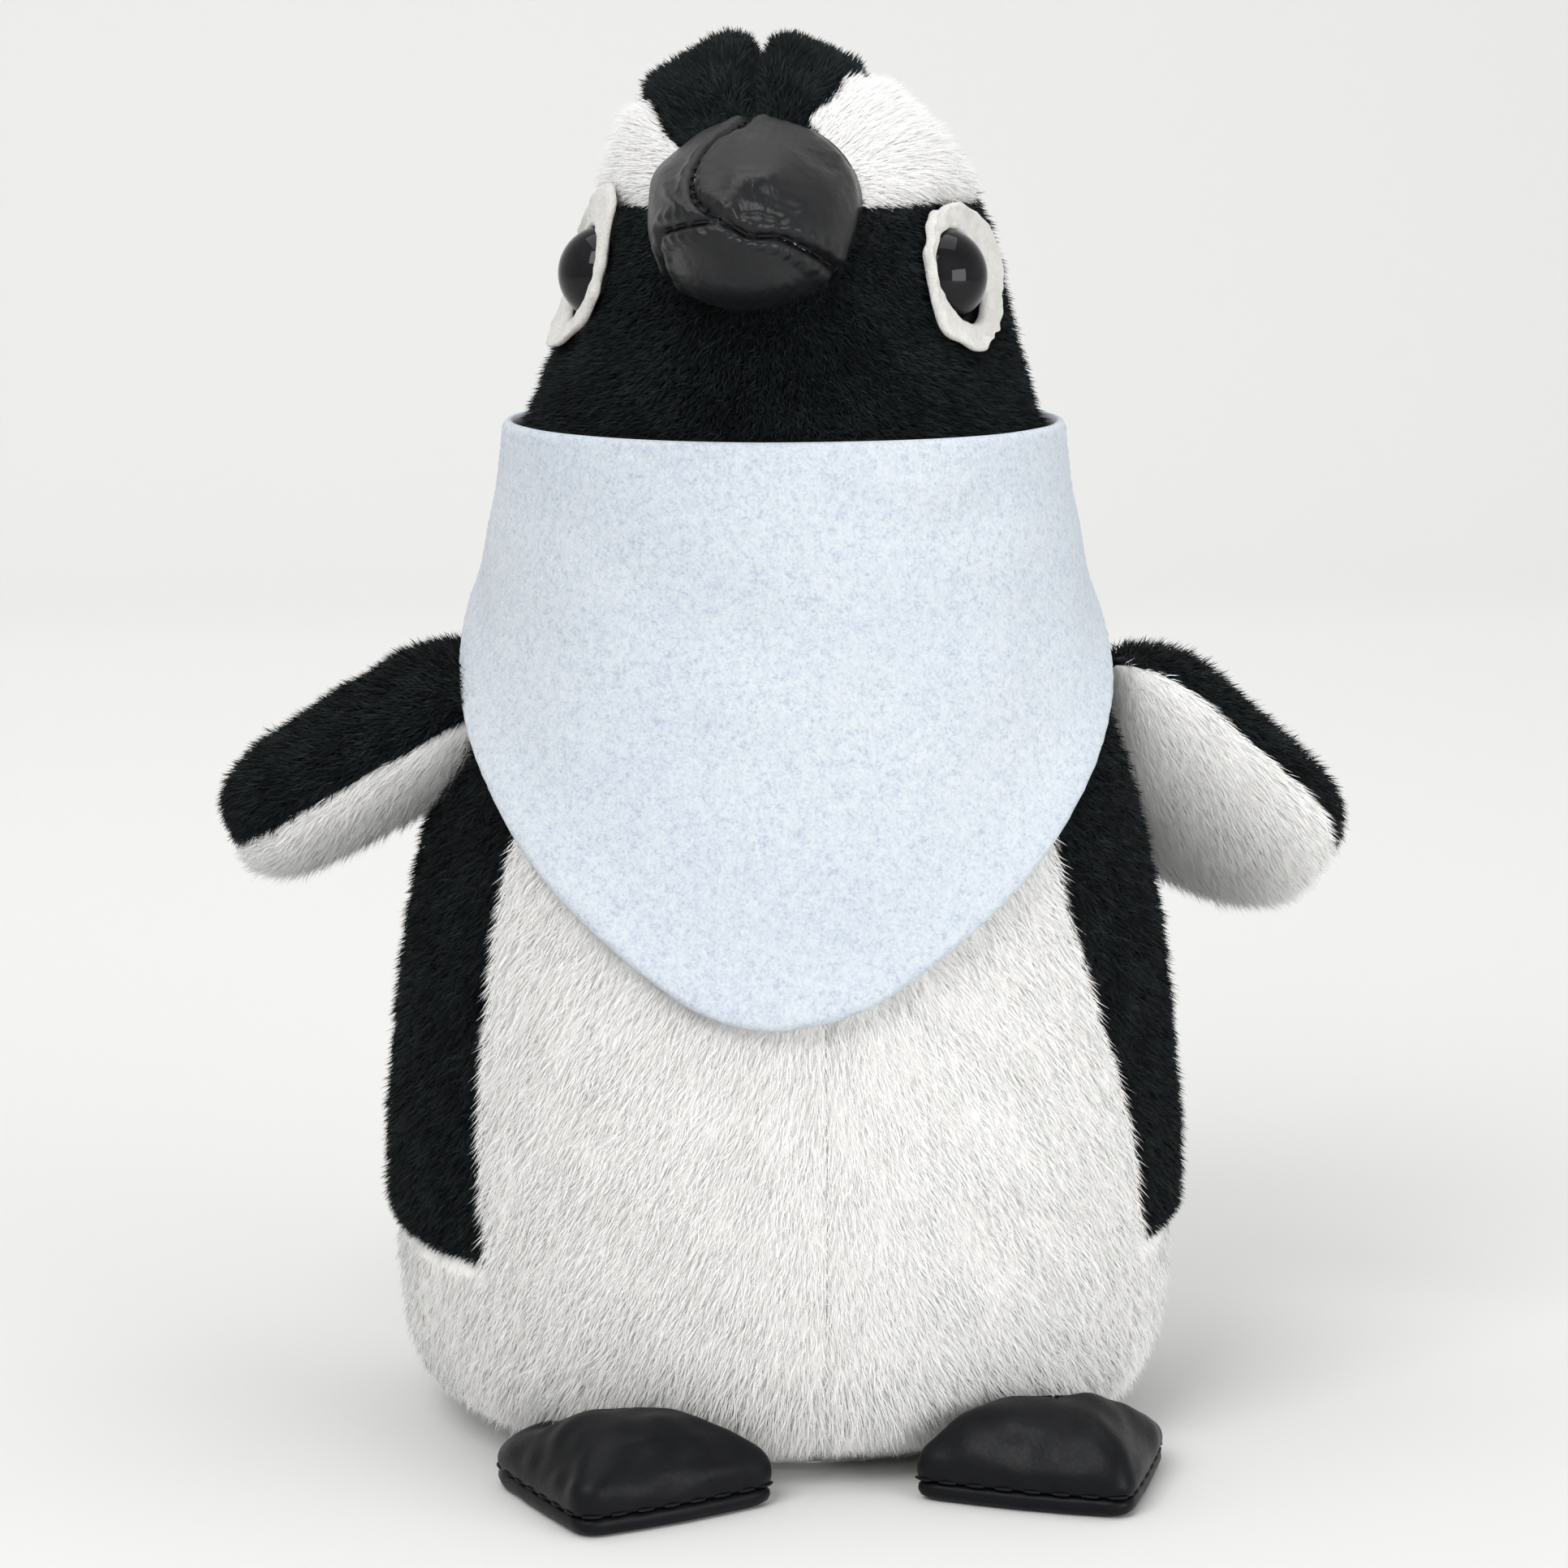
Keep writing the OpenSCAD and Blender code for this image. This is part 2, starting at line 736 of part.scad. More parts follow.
module foot_upper() {
    rise = foot_h - sole_t - seam;
    low = sole_t + seam;
    drawn = 1 - foot_wall / foot_reach;
    outer = [for (r = foot_rs) foot_ring(r, low + rise * foot_rise(r))];
    inner = [for (r = foot_rs) foot_ring(r * drawn, low + (rise - foot_wall) * foot_rise(r))];
    color(black_leather) ring_wall(outer, inner);
}

module foot_sole() {
    drawn = 0.95;
    color(black_leather)
        loft([
            foot_ring(drawn, 0), foot_ring(1, 0.9), foot_ring(1, sole_t)
        ]);
}

module foot_filling() {
    rise = foot_h - sole_t - seam - foot_wall - 0.3;
    low = sole_t + seam;
    drawn = 1 - (foot_wall + 0.3) / foot_reach;
    color(stuffing)
        loft([for (r = foot_rs) foot_ring(r * drawn, low + rise * foot_rise(r))]);
}

module left_foot() {
    translate([foot_shift, 0, 0]) children();
}

module right_foot() {
    translate([foot_shift, 0, 0]) mirror([1, 0, 0]) children();
}

// ---- Named pieces ------------------------------------------------------------

module on_right() {
    mirror([1, 0, 0]) children();
}

// A piece of the head's right side: its left twin mirrored in the head's own middle
module on_head_right() {
    rotate([0, 0, -head_turn]) mirror([1, 0, 0]) rotate([0, 0, head_turn]) children();
}

belly_panel();  // belly_panel_left
on_right() belly_panel();  // belly_panel_right
back_panel();  // back_panel_left
on_right() back_panel();  // back_panel_right
base_panel();
body_filling();
pellet_bag();
pellets();
tail_upper();
tail_under();
tail_filling();
bib_collar();
bib_flap();
bib_loop_strip();
bib_hook_strip();
head_cap();  // head_cap_left
on_head_right() head_cap();  // head_cap_right
brow_patch();  // brow_patch_left
on_head_right() brow_patch();  // brow_patch_right
face_panel();
head_filling();
beak_panel(0, 90, 6);  // beak_upper_left
beak_panel(90, 180, 6);  // beak_upper_right
beak_panel(180, 360, 12);  // beak_lower
beak_filling();
at_head() eye();  // eye_left
on_head_right() at_head() eye();  // eye_right
at_head() eye_washer();  // eye_washer_left
on_head_right() at_head() eye_washer();  // eye_washer_right
eye_patch();  // eye_patch_left
on_head_right() eye_patch();  // eye_patch_right
flipper_left_outer();
flipper_left_inner();
flipper_left_filling();
flipper_right_outer();
flipper_right_inner();
flipper_right_filling();
left_foot() foot_upper();  // foot_left_upper
left_foot() foot_sole();  // foot_left_sole
left_foot() foot_filling();  // foot_left_filling
right_foot() foot_upper();  // foot_right_upper
right_foot() foot_sole();  // foot_right_sole
right_foot() foot_filling();  // foot_right_filling
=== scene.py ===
"""Looks of a plush penguin: pile fabric, leather beak and feet, felt round the eyes, a bib.

Lengths are in millimetres until a mesh is made. The origin is the middle of the base,
+Z is up, the face looks along -Y, and left is the toy's own, which is +X.
"""

import math

import bpy
import mathutils
import numpy as np
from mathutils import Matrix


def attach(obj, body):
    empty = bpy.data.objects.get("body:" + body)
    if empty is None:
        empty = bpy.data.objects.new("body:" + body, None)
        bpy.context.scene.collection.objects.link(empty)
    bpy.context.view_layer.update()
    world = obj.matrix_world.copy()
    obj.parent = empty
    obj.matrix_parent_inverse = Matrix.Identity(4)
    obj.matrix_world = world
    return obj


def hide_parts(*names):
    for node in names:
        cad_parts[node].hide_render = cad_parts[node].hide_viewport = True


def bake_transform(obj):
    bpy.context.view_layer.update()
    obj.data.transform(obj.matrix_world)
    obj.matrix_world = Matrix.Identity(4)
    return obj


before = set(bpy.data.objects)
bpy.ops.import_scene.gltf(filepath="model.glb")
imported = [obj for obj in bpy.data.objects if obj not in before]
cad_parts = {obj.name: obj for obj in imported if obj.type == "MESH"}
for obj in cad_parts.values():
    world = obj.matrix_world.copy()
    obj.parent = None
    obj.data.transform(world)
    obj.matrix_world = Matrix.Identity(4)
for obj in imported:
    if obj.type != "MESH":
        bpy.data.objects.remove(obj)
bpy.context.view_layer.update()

MM = 0.001

# ---- Curves and fields ---------------------------------------------------------


def unit(v):
    """Each vector divided by its own length."""
    return v / np.maximum(np.linalg.norm(v, axis=-1, keepdims=True), 1e-12)


def smoothstep(x, low, high):
    """0 up to low, 1 from high on, and the cubic 3t^2 - 2t^3 between them."""
    t = np.clip((x - low) / (high - low), 0, 1)
    return t * t * (3 - 2 * t)


def curve(xs, ys):
    """A function through the points that doesn't overshoot them: between two points it is
    the cubic with their heights and slopes, where a point's slope is the harmonic mean of
    the straight slopes beside it, or level where those differ in sign."""
    xs, ys = np.asarray(xs, float), np.asarray(ys, float)
    h = np.diff(xs)
    d = np.diff(ys) / h
    m = np.empty_like(ys)
    m[0], m[-1] = d[0], d[-1]
    same = d[:-1] * d[1:] > 0
    total = np.where(same, d[:-1] + d[1:], 1)
    m[1:-1] = np.where(same, 2 * d[:-1] * d[1:] / total, 0)

    def at(x):
        x = np.clip(x, xs[0], xs[-1])
        i = np.clip(np.searchsorted(xs, x, side="right") - 1, 0, len(h) - 1)
        t = (x - xs[i]) / h[i]
        return (
            ys[i] * (1 + 2 * t) * (1 - t) ** 2
            + ys[i + 1] * t * t * (3 - 2 * t)
            + m[i] * h[i] * t * (1 - t) ** 2
            - m[i + 1] * h[i] * t * t * (1 - t)
        )

    return at


def wave(p, size, seed):
    """A soft random field, about -1 to 1: the mean of eight sine waves through space,
    each about size long, with directions and phases drawn from the seed."""
    rng = np.random.default_rng(seed)
    k = unit(rng.normal(size=(8, 3))) * (2 * np.pi / size) * rng.uniform(0.7, 1.4, (8, 1))
    return np.sin(p @ k.T + rng.uniform(0, 2 * np.pi, 8)).mean(-1) * 2


def wave3(p, size, seed):
    """Three soft random fields as one vector field."""
    return np.stack([wave(p, size, seed + i) for i in range(3)], -1)


def oval(turn, side, front, back, power):
    """Plan point of a rounded oval: turn 0 is its front, -Y, and 90 its left side, +X."""
    s, c = np.sin(np.radians(turn)), np.cos(np.radians(turn))
    e = 2 / power
    x = side * np.sign(s) * np.abs(s) ** e
    return x, -np.where(c > 0, front, back) * np.sign(c) * np.abs(c) ** e


def normals(surface, u, v, step):
    """Outward directions of a surface: the cross of its slopes along u and v, each from a
    step to either side. Seen from outside, u runs right and v runs up."""
    du, dv = step
    along = surface(u + du, v) - surface(u - du, v)
    up = surface(u, v + dv) - surface(u, v - dv)
    return unit(np.cross(along, up))


def graded(n):
    """n + 1 shares from 0 to 1, closer together at both ends."""
    t = np.linspace(0, 1, n + 1)
    return 0.35 * t + 0.65 * (0.5 - 0.5 * np.cos(np.pi * t))


# ---- Meshes --------------------------------------------------------------------


def mesh_of(name, points, faces, mats, slots=None, smooth=True, point_normals=None):
    """A mesh object from points in millimetres and faces with the same count of corners."""
    me = bpy.data.meshes.new(name)
    count, corners = faces.shape
    me.vertices.add(len(points))
    me.vertices.foreach_set("co", (points * MM).astype(np.float32).ravel())
    me.loops.add(count * corners)
    me.loops.foreach_set("vertex_index", faces.astype(np.int32).ravel())
    me.polygons.add(count)
    me.polygons.foreach_set("loop_start", np.arange(0, count * corners, corners, np.int32))
    me.polygons.foreach_set("use_smooth", np.full(count, smooth))
    for m in mats if isinstance(mats, (list, tuple)) else [mats]:
        me.materials.append(m)
    if slots is not None:
        me.polygons.foreach_set("material_index", slots.astype(np.int32))
    me.update(calc_edges=True)
    if point_normals is not None:
        me.normals_split_custom_set_from_vertices(point_normals.astype(np.float32))
    o = bpy.data.objects.new(name, me)
    bpy.context.scene.collection.objects.link(o)
    return o


def signed_volume(points, quads):
    """Six times the volume inside four-cornered faces, below 0 when they face inwards."""
    a, b, c, d = (points[quads[:, i]] for i in range(4))
    return (
        np.einsum("ij,ij->i", a, np.cross(b, c)).sum()
        + np.einsum("ij,ij->i", a, np.cross(c, d)).sum()
    )


def wall_piece(name, outer, inner, mats, keep=None, ring=False):
    """A closed piece between two grids of points, with the cells that keep picks: the
    outer skin, the inner skin turned over, and a rim along each edge of the kept cells.
    With ring, the last column joins the first."""
    rows, cols = outer.shape[:2]
    n = rows * cols
    index = np.arange(n).reshape(rows, cols)
    if ring:
        index = np.concatenate([index, index[:, :1]], 1)
    a, b = index[:-1, :-1], index[:-1, 1:]
    d, e = index[1:, :-1], index[1:, 1:]
    if keep is None:
        keep = np.ones(a.shape, bool)
    pad = np.pad(keep, 1)
    if ring:
        pad[:, 0], pad[:, -1] = pad[:, -2], pad[:, 1]
    rims = [
        (keep & ~pad[:-2, 1:-1], a, b),
        (keep & ~pad[1:-1, 2:], b, e),
        (keep & ~pad[2:, 1:-1], e, d),
        (keep & ~pad[1:-1, :-2], d, a),
    ]
    quads = [np.stack([a, b, e, d], -1)[keep], np.stack([a, d, e, b], -1)[keep] + n]
    quads += [np.stack([q, p, p + n, q + n], -1)[m] for m, p, q in rims]
    quads = np.concatenate(quads)
    points = np.concatenate([outer.reshape(-1, 3), inner.reshape(-1, 3)])
    used = np.unique(quads)
    place = np.zeros(2 * n, int)
    place[used] = np.arange(len(used))
    points, quads = points[used], place[quads]
    if signed_volume(points, quads) < 0:
        quads = quads[:, ::-1]
    return mesh_of(name, points, quads, mats)


def skin_piece(name, grid, mats):
    """A closed piece from rings of points: each ring joins the next, and the first and
    the last ring are closed over by strips across them."""
    rows, cols = grid.shape[:2]
    index = np.arange(rows * cols).reshape(rows, cols)
    nxt = np.roll(index, -1, 1)
    sides = np.stack([index[:-1], nxt[:-1], nxt[1:], index[1:]], -1).reshape(-1, 4)
    k = np.arange(cols // 2 - 1)
    cap = np.stack([k, cols - 1 - k, cols - 2 - k, k + 1], -1)
    quads = np.concatenate([sides, cap, (rows - 1) * cols + cap[:, ::-1]])
    points = grid.reshape(-1, 3)
    if signed_volume(points, quads) < 0:
        quads = quads[:, ::-1]
    return mesh_of(name, points, quads, mats)


# Height of a cloth's outer skin over its surface: the pile makes up the rest
CLOTH_OFF = -0.8


def seam_dip(d, depth=0.65, width=1.1):
    """How far cloth dips at a distance d from its sewn edge."""
    return depth * np.exp(-((d / width) ** 2))


def cloth(name, surface, u, v, edge, step, mats, keep, thick, base):
    """A panel of cloth over a surface: its points, moved outwards by base and soft lumps
    and inwards where its sewn edges dip into their seams."""
    p = surface(u, v)
    n = normals(surface, u, v, step)
    lump = 0.12 * wave(p, 9, 11)
    off = base + lump - seam_dip(edge(u, v, p))
    outer = p + n * off[..., None]
    inner = p + n * (base - thick)
    return wall_piece(name, outer, inner, mats, keep)


# Points drawn for each one wanted, as those outside the panel are dropped
SPARE = 1.25


def scatter(surface, us, vs, inside, weight, count, rng):
    """Points spread over a surface: cells of its grid are drawn by their area and weight,
    and a point is placed evenly within its cell. Those outside the panel are dropped."""
    gu, gv = np.meshgrid(us, vs)
    p = surface(gu, gv)
    across = p[:-1, 1:] - p[:-1, :-1]
    up = p[1:, :-1] - p[:-1, :-1]
    area = np.linalg.norm(np.cross(across, up), axis=-1)
    mu, mv = (gu[1:, 1:] + gu[:-1, :-1]) / 2, (gv[1:, 1:] + gv[:-1, :-1]) / 2
    near = inside(gu, gv)
    near = near[1:, 1:] | near[:-1, :-1] | near[1:, :-1] | near[:-1, 1:]
    share = (area * weight(mu, mv) * near).ravel()
    cell = rng.choice(share.size, int(count * SPARE), p=share / share.sum())
    i, j = np.divmod(cell, len(us) - 1)
    s, t = rng.random((2, len(cell)))
    u = us[j] + (us[j + 1] - us[j]) * s
    v = vs[i] + (vs[i + 1] - vs[i]) * t
    good = inside(u, v)
    return u[good][:count], v[good][:count]


# How far the blades' lengths and widths vary, how deep they stand in the cloth, how much
# shorter they are at a seam, and where along a blade it is widest and bends
LENGTHS, WIDTHS = (0.72, 1.12), (0.7, 1.25)
ROOTED, SEAM_SHORT, ELBOW = 0.25, 0.22, 0.52


def pile(name, surface, us, vs, inside, edge, step, comb, count, mats, seed, look, weight,
         change, body, bend, base):
    """Pile as separate thin blades. A blade is a kite, from its root through two side
    points halfway to its tip. It leaves the cloth leaning from the outward direction
    towards the comb direction, and leans further past halfway. Soft random fields turn
    neighbours alike, so that they stand in tufts."""
    rng = np.random.default_rng(seed)
    u, v = scatter(surface, us, vs, inside, weight or everywhere, count, rng)
    p = surface(u, v)
    n = normals(surface, u, v, step)
    d = edge(u, v, p)
    length = look["length"] * rng.uniform(*LENGTHS, len(p))
    length *= 1 + look["uneven"] * wave(p, 5, seed + 50)
    length *= 1 - SEAM_SHORT * np.exp(-(d ** 2))
    lean = np.radians(look["lean"] + rng.normal(0, look["stray"], len(p)))
    if change is not None:
        scale, flat = change(u, v, p)
        length, lean = length * scale, lean + np.radians(flat)
    lean = np.clip(lean, 0.05, 1.5)
    root = p + n * (base - ROOTED - seam_dip(d))[:, None]
    way = comb(p, n)
    way = way + look["tuft"] * wave3(p, look["tuft_size"], seed + 90)
    way = way + rng.normal(0, look["mess"], way.shape)
    way = unit(way - n * (way * n).sum(-1, keepdims=True))

    def leaning(angle):
        return n * np.cos(angle)[:, None] + way * np.sin(angle)[:, None]

    first = unit(leaning(lean) + rng.normal(0, 0.06, way.shape))
    last = unit(leaning(np.minimum(lean + np.radians(look["curl"]), 1.6)))
    side = unit(np.cross(first, n) + 1e-9)
    roll = rng.normal(0, 0.5, len(p))[:, None]
    side = unit(side * np.cos(roll) + np.cross(first, side) * np.sin(roll))
    facing = unit(np.cross(first, side))
    wrong = (facing * n).sum(-1, keepdims=True) < 0
    side, facing = np.where(wrong, -side, side), np.where(wrong, -facing, facing)
    half = (look["width"] / 2 * rng.uniform(*WIDTHS, len(p)))[:, None]
    mid = root + first * (ELBOW * length)[:, None]
    tip = mid + last * ((1 - ELBOW) * length)[:, None]
    points = np.stack([root, mid - side * half, mid + side * half, tip], 1)
    first_corner = 4 * np.arange(len(p))[:, None]
    faces = np.stack([first_corner + [0, 2, 1], first_corner + [3, 1, 2]], 1).reshape(-1, 3)
    flip = (np.cross(points[:, 2] - points[:, 0], points[:, 1] - points[:, 0]) * n).sum(-1)
    if (flip > 0).mean() < 0.5:
        faces = faces[:, ::-1]
    soft = unit(look["soft"] * n + (1 - look["soft"]) * facing)
    shade = np.repeat(soft[:, None], 4, 1)
    shade[:, 0] = n
    tone = 0.5 + 0.16 * wave(p, 7, seed + 7) + rng.normal(0, 0.28, len(p))
    tone = np.clip((tone * len(mats)).astype(int), 0, len(mats) - 1)
    o = mesh_of(name, points.reshape(-1, 3), faces, mats, np.repeat(tone, 2),
                point_normals=shade.reshape(-1, 3))
    if bend:
        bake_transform(o)
    else:
        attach(o, body)
    return o


def dashes(name, path, out, length, gap, radius, mats, across, lift):
    """Stitches along a path: six-sided threads, thin at both ends, which dip into the
    cloth there. They lie along the path, or across it, and stand lift over it."""
    seg = np.linalg.norm(np.diff(path, axis=0), axis=1)
    s = np.concatenate([[0], np.cumsum(seg)])
    centres = np.arange(length / 2, s[-1] - length / 2, length + gap)
    if across:
        centres = np.arange(gap / 2, s[-1], gap)

    def at(values, where):
        return np.stack([np.interp(where, s, values[:, i]) for i in range(3)], -1)

    c, up = at(path, centres), unit(at(out, centres))
    way = unit(at(path, centres + 0.2) - at(path, centres - 0.2))
    side = unit(np.cross(way, up))
    if across:
        way, side = side, way
    share = np.array([-0.5, -0.36, 0, 0.36, 0.5])
    thick = np.array([0.35, 0.95, 1, 0.95, 0.35])
    rise = np.array([-0.35, 0.0, 0.12, 0.0, -0.35]) + lift
    turn = np.radians(np.arange(0, 360, 60))
    ring = side[:, None] * np.cos(turn)[:, None] + up[:, None] * np.sin(turn)[:, None]
    core = c[:, None] + way[:, None] * (share * length)[:, None] + up[:, None] * rise[:, None]
    points = core[:, :, None] + ring[:, None] * (thick * radius)[None, :, None, None]
    m = len(centres)
    index = np.arange(5 * 6).reshape(5, 6)
    nxt = np.roll(index, -1, 1)
    sides = np.stack([index[:-1], nxt[:-1], nxt[1:], index[1:]], -1).reshape(-1, 4)
    caps = np.array([[3, 2, 1, 0], [5, 4, 3, 0], [24, 25, 26, 27], [24, 27, 28, 29]])
    one = np.concatenate([sides, caps])
    quads = (30 * np.arange(m)[:, None, None] + one).reshape(-1, 4)
    points = points.reshape(-1, 3)
    if signed_volume(points - points.mean(0), quads) < 0:
        quads = quads[:, ::-1]
    return mesh_of(name, points, quads, mats)


# ---- Materials -----------------------------------------------------------------


def principled(name, color, rough, **plain):
    """A new material's shader with plain values on its sockets."""
    mat = bpy.data.materials.new(name)
    mat.use_nodes = True
    p = mat.node_tree.nodes["Principled BSDF"]
    p.inputs["Base Color"].default_value = (*color, 1)
    p.inputs["Roughness"].default_value = rough
    for key, value in plain.items():
        p.inputs[key.replace("_", " ")].default_value = value
    return mat, mat.node_tree, p


def place(tree, stretch=(1, 1, 1)):
    """Object coordinates, stretched along the axes."""
    coord = tree.nodes.new("ShaderNodeTexCoord")
    turn = tree.nodes.new("ShaderNodeMapping")
    turn.inputs["Scale"].default_value = stretch
    tree.links.new(coord.outputs["Object"], turn.inputs["Vector"])
    return turn.outputs["Vector"]


def noise(tree, vector, size_mm, detail=3, rough=0.55):
    """Soft noise with features of about this size."""
    tex = tree.nodes.new("ShaderNodeTexNoise")
    tex.inputs["Scale"].default_value = 1 / (size_mm * MM)
    tex.inputs["Detail"].default_value = detail
    tex.inputs["Roughness"].default_value = rough
    tree.links.new(vector, tex.inputs["Vector"])
    return tex.outputs["Fac"]


def cells(tree, vector, size_mm, feature):
    """Distance from the middle of each random cell of this size."""
    tex = tree.nodes.new("ShaderNodeTexVoronoi")
    tex.feature = feature
    tex.inputs["Scale"].default_value = 1 / (size_mm * MM)
    tree.links.new(vector, tex.inputs["Vector"])
    return tex.outputs["Distance"]


def ramp(tree, fac, stops):
    """A field turned into colours or values through stops."""
    node = tree.nodes.new("ShaderNodeValToRGB")
    element = node.color_ramp.elements
    while len(element) < len(stops):
        element.new(0.5)
    for e, (at, color) in zip(element, stops):
        e.position = at
        e.color = (*color, 1) if hasattr(color, "__len__") else (color, color, color, 1)
    tree.links.new(fac, node.inputs["Fac"])
    return node.outputs["Color"]


def mixed(tree, a, b, fac, how="MIX"):
    """Two fields or colours blended by a share."""
    node = tree.nodes.new("ShaderNodeMix")
    node.data_type = "RGBA"
    node.blend_type = how
    node.inputs[0].default_value = fac
    tree.links.new(a, node.inputs[6])
    tree.links.new(b, node.inputs[7])
    return node.outputs[2]


def add_bump(tree, p, height, depth_mm, strength=1.0):
    """A height field as bump on a shader."""
    node = tree.nodes.new("ShaderNodeBump")
    node.inputs["Strength"].default_value = strength
    node.inputs["Distance"].default_value = depth_mm * MM
    tree.links.new(height, node.inputs["Height"])
    tree.links.new(node.outputs["Normal"], p.inputs["Normal"])


def cloth_material(name, dark, light, rough, sheen, size, depth):
    """Backing of a pile fabric: flecks of two tones at two sizes, and a fine nap."""
    mat, tree, p = principled(name, light, rough, Sheen_Weight=sheen, Sheen_Roughness=0.5)
    at = place(tree)
    fleck = mixed(tree, noise(tree, at, size), noise(tree, at, size * 9, 2), 0.35)
    tree.links.new(ramp(tree, fleck, [(0.3, dark), (0.7, light)]), p.inputs["Base Color"])
    add_bump(tree, p, noise(tree, at, size * 1.3, 4), depth)
    return mat


def pile_material(name, color, rough, sheen, specular):
    """One tone of the pile, whose sheen and shine vary softly over the toy."""
    mat, tree, p = principled(name, color, rough, Sheen_Roughness=0.45)
    at = place(tree)
    shine = ramp(tree, noise(tree, at, 6, 2), [(0.3, sheen * 0.5), (0.7, sheen)])
    tree.links.new(shine, p.inputs["Sheen Weight"])
    gloss = ramp(tree, noise(tree, at, 2.5, 2), [(0.3, specular * 0.5), (0.7, specular)])
    tree.links.new(gloss, p.inputs["Specular IOR Level"])
    return mat


def leather_material(name, base, worn, rough, specular):
    """Soft coated leather: a pebble grain of small cells, creases, and shine that varies."""
    mat, tree, p = principled(name, base, rough, Specular_IOR_Level=specular)
    at = place(tree)
    grain = cells(tree, at, 0.55, "SMOOTH_F1")
    pores = noise(tree, at, 0.35, 4, 0.6)
    fold = noise(tree, place(tree, (1, 1, 2.2)), 2.6, 4, 0.62)
    tone = ramp(tree, noise(tree, at, 3.2, 4), [(0.35, base), (0.75, worn)])
    tree.links.new(tone, p.inputs["Base Color"])
    gloss = ramp(tree, mixed(tree, pores, noise(tree, at, 5, 2), 0.5),
                 [(0.3, rough - 0.1), (0.7, rough + 0.12)])
    tree.links.new(gloss, p.inputs["Roughness"])
    height = mixed(tree, mixed(tree, grain, pores, 0.45), fold, 0.55)
    add_bump(tree, p, height, 0.12, 0.6)
    return mat


def fleece_material(name):
    """Brushed knit: pale blue with fine flecks and a soft nap."""
    mat, tree, p = principled(name, (0.6, 0.66, 0.72), 0.92, Sheen_Weight=0.15,
                              Sheen_Roughness=0.6)
    at = place(tree)
    speck = mixed(tree, noise(tree, at, 0.34, 4, 0.75), noise(tree, at, 0.9, 2), 0.3)
    tone = ramp(tree, speck, [(0.37, (0.38, 0.44, 0.52)), (0.46, (0.52, 0.565, 0.62)),
                              (0.60, (0.62, 0.652, 0.68))])
    cloud = ramp(tree, noise(tree, at, 22, 2), [(0.3, (0.93, 0.95, 0.985)), (0.7, 1.0)])
    tree.links.new(mixed(tree, tone, cloud, 1.0, "MULTIPLY"), p.inputs["Base Color"])
    add_bump(tree, p, speck, 0.25, 0.8)
    return mat


def felt_material(name):
    """Pressed felt: matted fibres as stretched noise in two directions, off-white."""
    mat, tree, p = principled(name, (0.80, 0.79, 0.76), 0.9, Sheen_Weight=0.2)
    at = place(tree)
    fibre = mixed(tree, noise(tree, place(tree, (1, 1, 0.2)), 0.3, 4, 0.7),
                  noise(tree, place(tree, (1, 0.2, 1)), 0.3, 4, 0.7), 0.5)
    blotch = noise(tree, at, 2.4, 3)
    tone = ramp(tree, mixed(tree, fibre, blotch, 0.4),
                [(0.3, (0.50, 0.49, 0.46)), (0.62, (0.70, 0.69, 0.665))])
    tree.links.new(tone, p.inputs["Base Color"])
    add_bump(tree, p, mixed(tree, fibre, blotch, 0.4), 0.5, 1.0)
    return mat


def simple_material(name, dark, light, rough, size, depth, **plain):
    """A tone that varies with noise, and a bump of the same grain."""
    mat, tree, p = principled(name, light, rough, **plain)
    at = place(tree)
    grain = noise(tree, at, size, 3)
    tree.links.new(ramp(tree, grain, [(0.3, dark), (0.7, light)]), p.inputs["Base Color"])
    add_bump(tree, p, grain, depth, 0.5)
    return mat


white_cloth = cloth_material("white_backing", (0.80, 0.79, 0.77), (0.92, 0.915, 0.90),
                             0.9, 0.3, 0.8, 0.3)
black_cloth = cloth_material("black_backing", (0.002, 0.003, 0.0035),
                             (0.006, 0.009, 0.010), 0.95, 0.06, 0.8, 0.3)
WHITE = [pile_material(f"white_pile_{i}", c, 0.8, 0.25, 0.15) for i, c in enumerate([
    (0.84, 0.835, 0.82), (0.88, 0.875, 0.862), (0.91, 0.905, 0.895), (0.935, 0.93, 0.922)])]
BLACK = [pile_material(f"black_pile_{i}", c, 0.85, 0.05, 0.18) for i, c in enumerate([
    (0.0018, 0.0028, 0.003), (0.0035, 0.0055, 0.006), (0.007, 0.0105, 0.0115),
    (0.014, 0.019, 0.020)])]
leather = leather_material("black_leather", (0.0035, 0.0038, 0.0046),
                           (0.008, 0.0085, 0.010), 0.38, 0.32)
foot_leather = leather_material("foot_leather", (0.0035, 0.0038, 0.0046),
                                (0.006, 0.0064, 0.008), 0.42, 0.13)
fleece = fleece_material("bib_fleece")
felt = felt_material("felt")
thread = simple_material("black_thread", (0.002, 0.002, 0.0025), (0.008, 0.0085, 0.01),
                         0.7, 0.2, 0.1, Specular_IOR_Level=0.2)
stuffing = simple_material("stuffing", (0.72, 0.72, 0.70), (0.88, 0.88, 0.86), 0.95, 1.5,
                           0.8)
bag_cloth = simple_material("bag_cloth", (0.48, 0.44, 0.36), (0.68, 0.64, 0.55), 0.9, 0.5,
                            0.2)
pellet = simple_material("pellets", (0.62, 0.61, 0.58), (0.84, 0.83, 0.80), 0.45, 2.2,
                         0.9)
washer = simple_material("washer", (0.70, 0.70, 0.69), (0.82, 0.82, 0.81), 0.4, 3, 0.05)
loop_cloth = simple_material("loop_strip", (0.60, 0.66, 0.76), (0.80, 0.85, 0.93), 0.95,
                             0.35, 0.35)
hook_cloth = simple_material("hook_strip", (0.66, 0.68, 0.72), (0.86, 0.88, 0.91), 0.6,
                             0.5, 0.4)
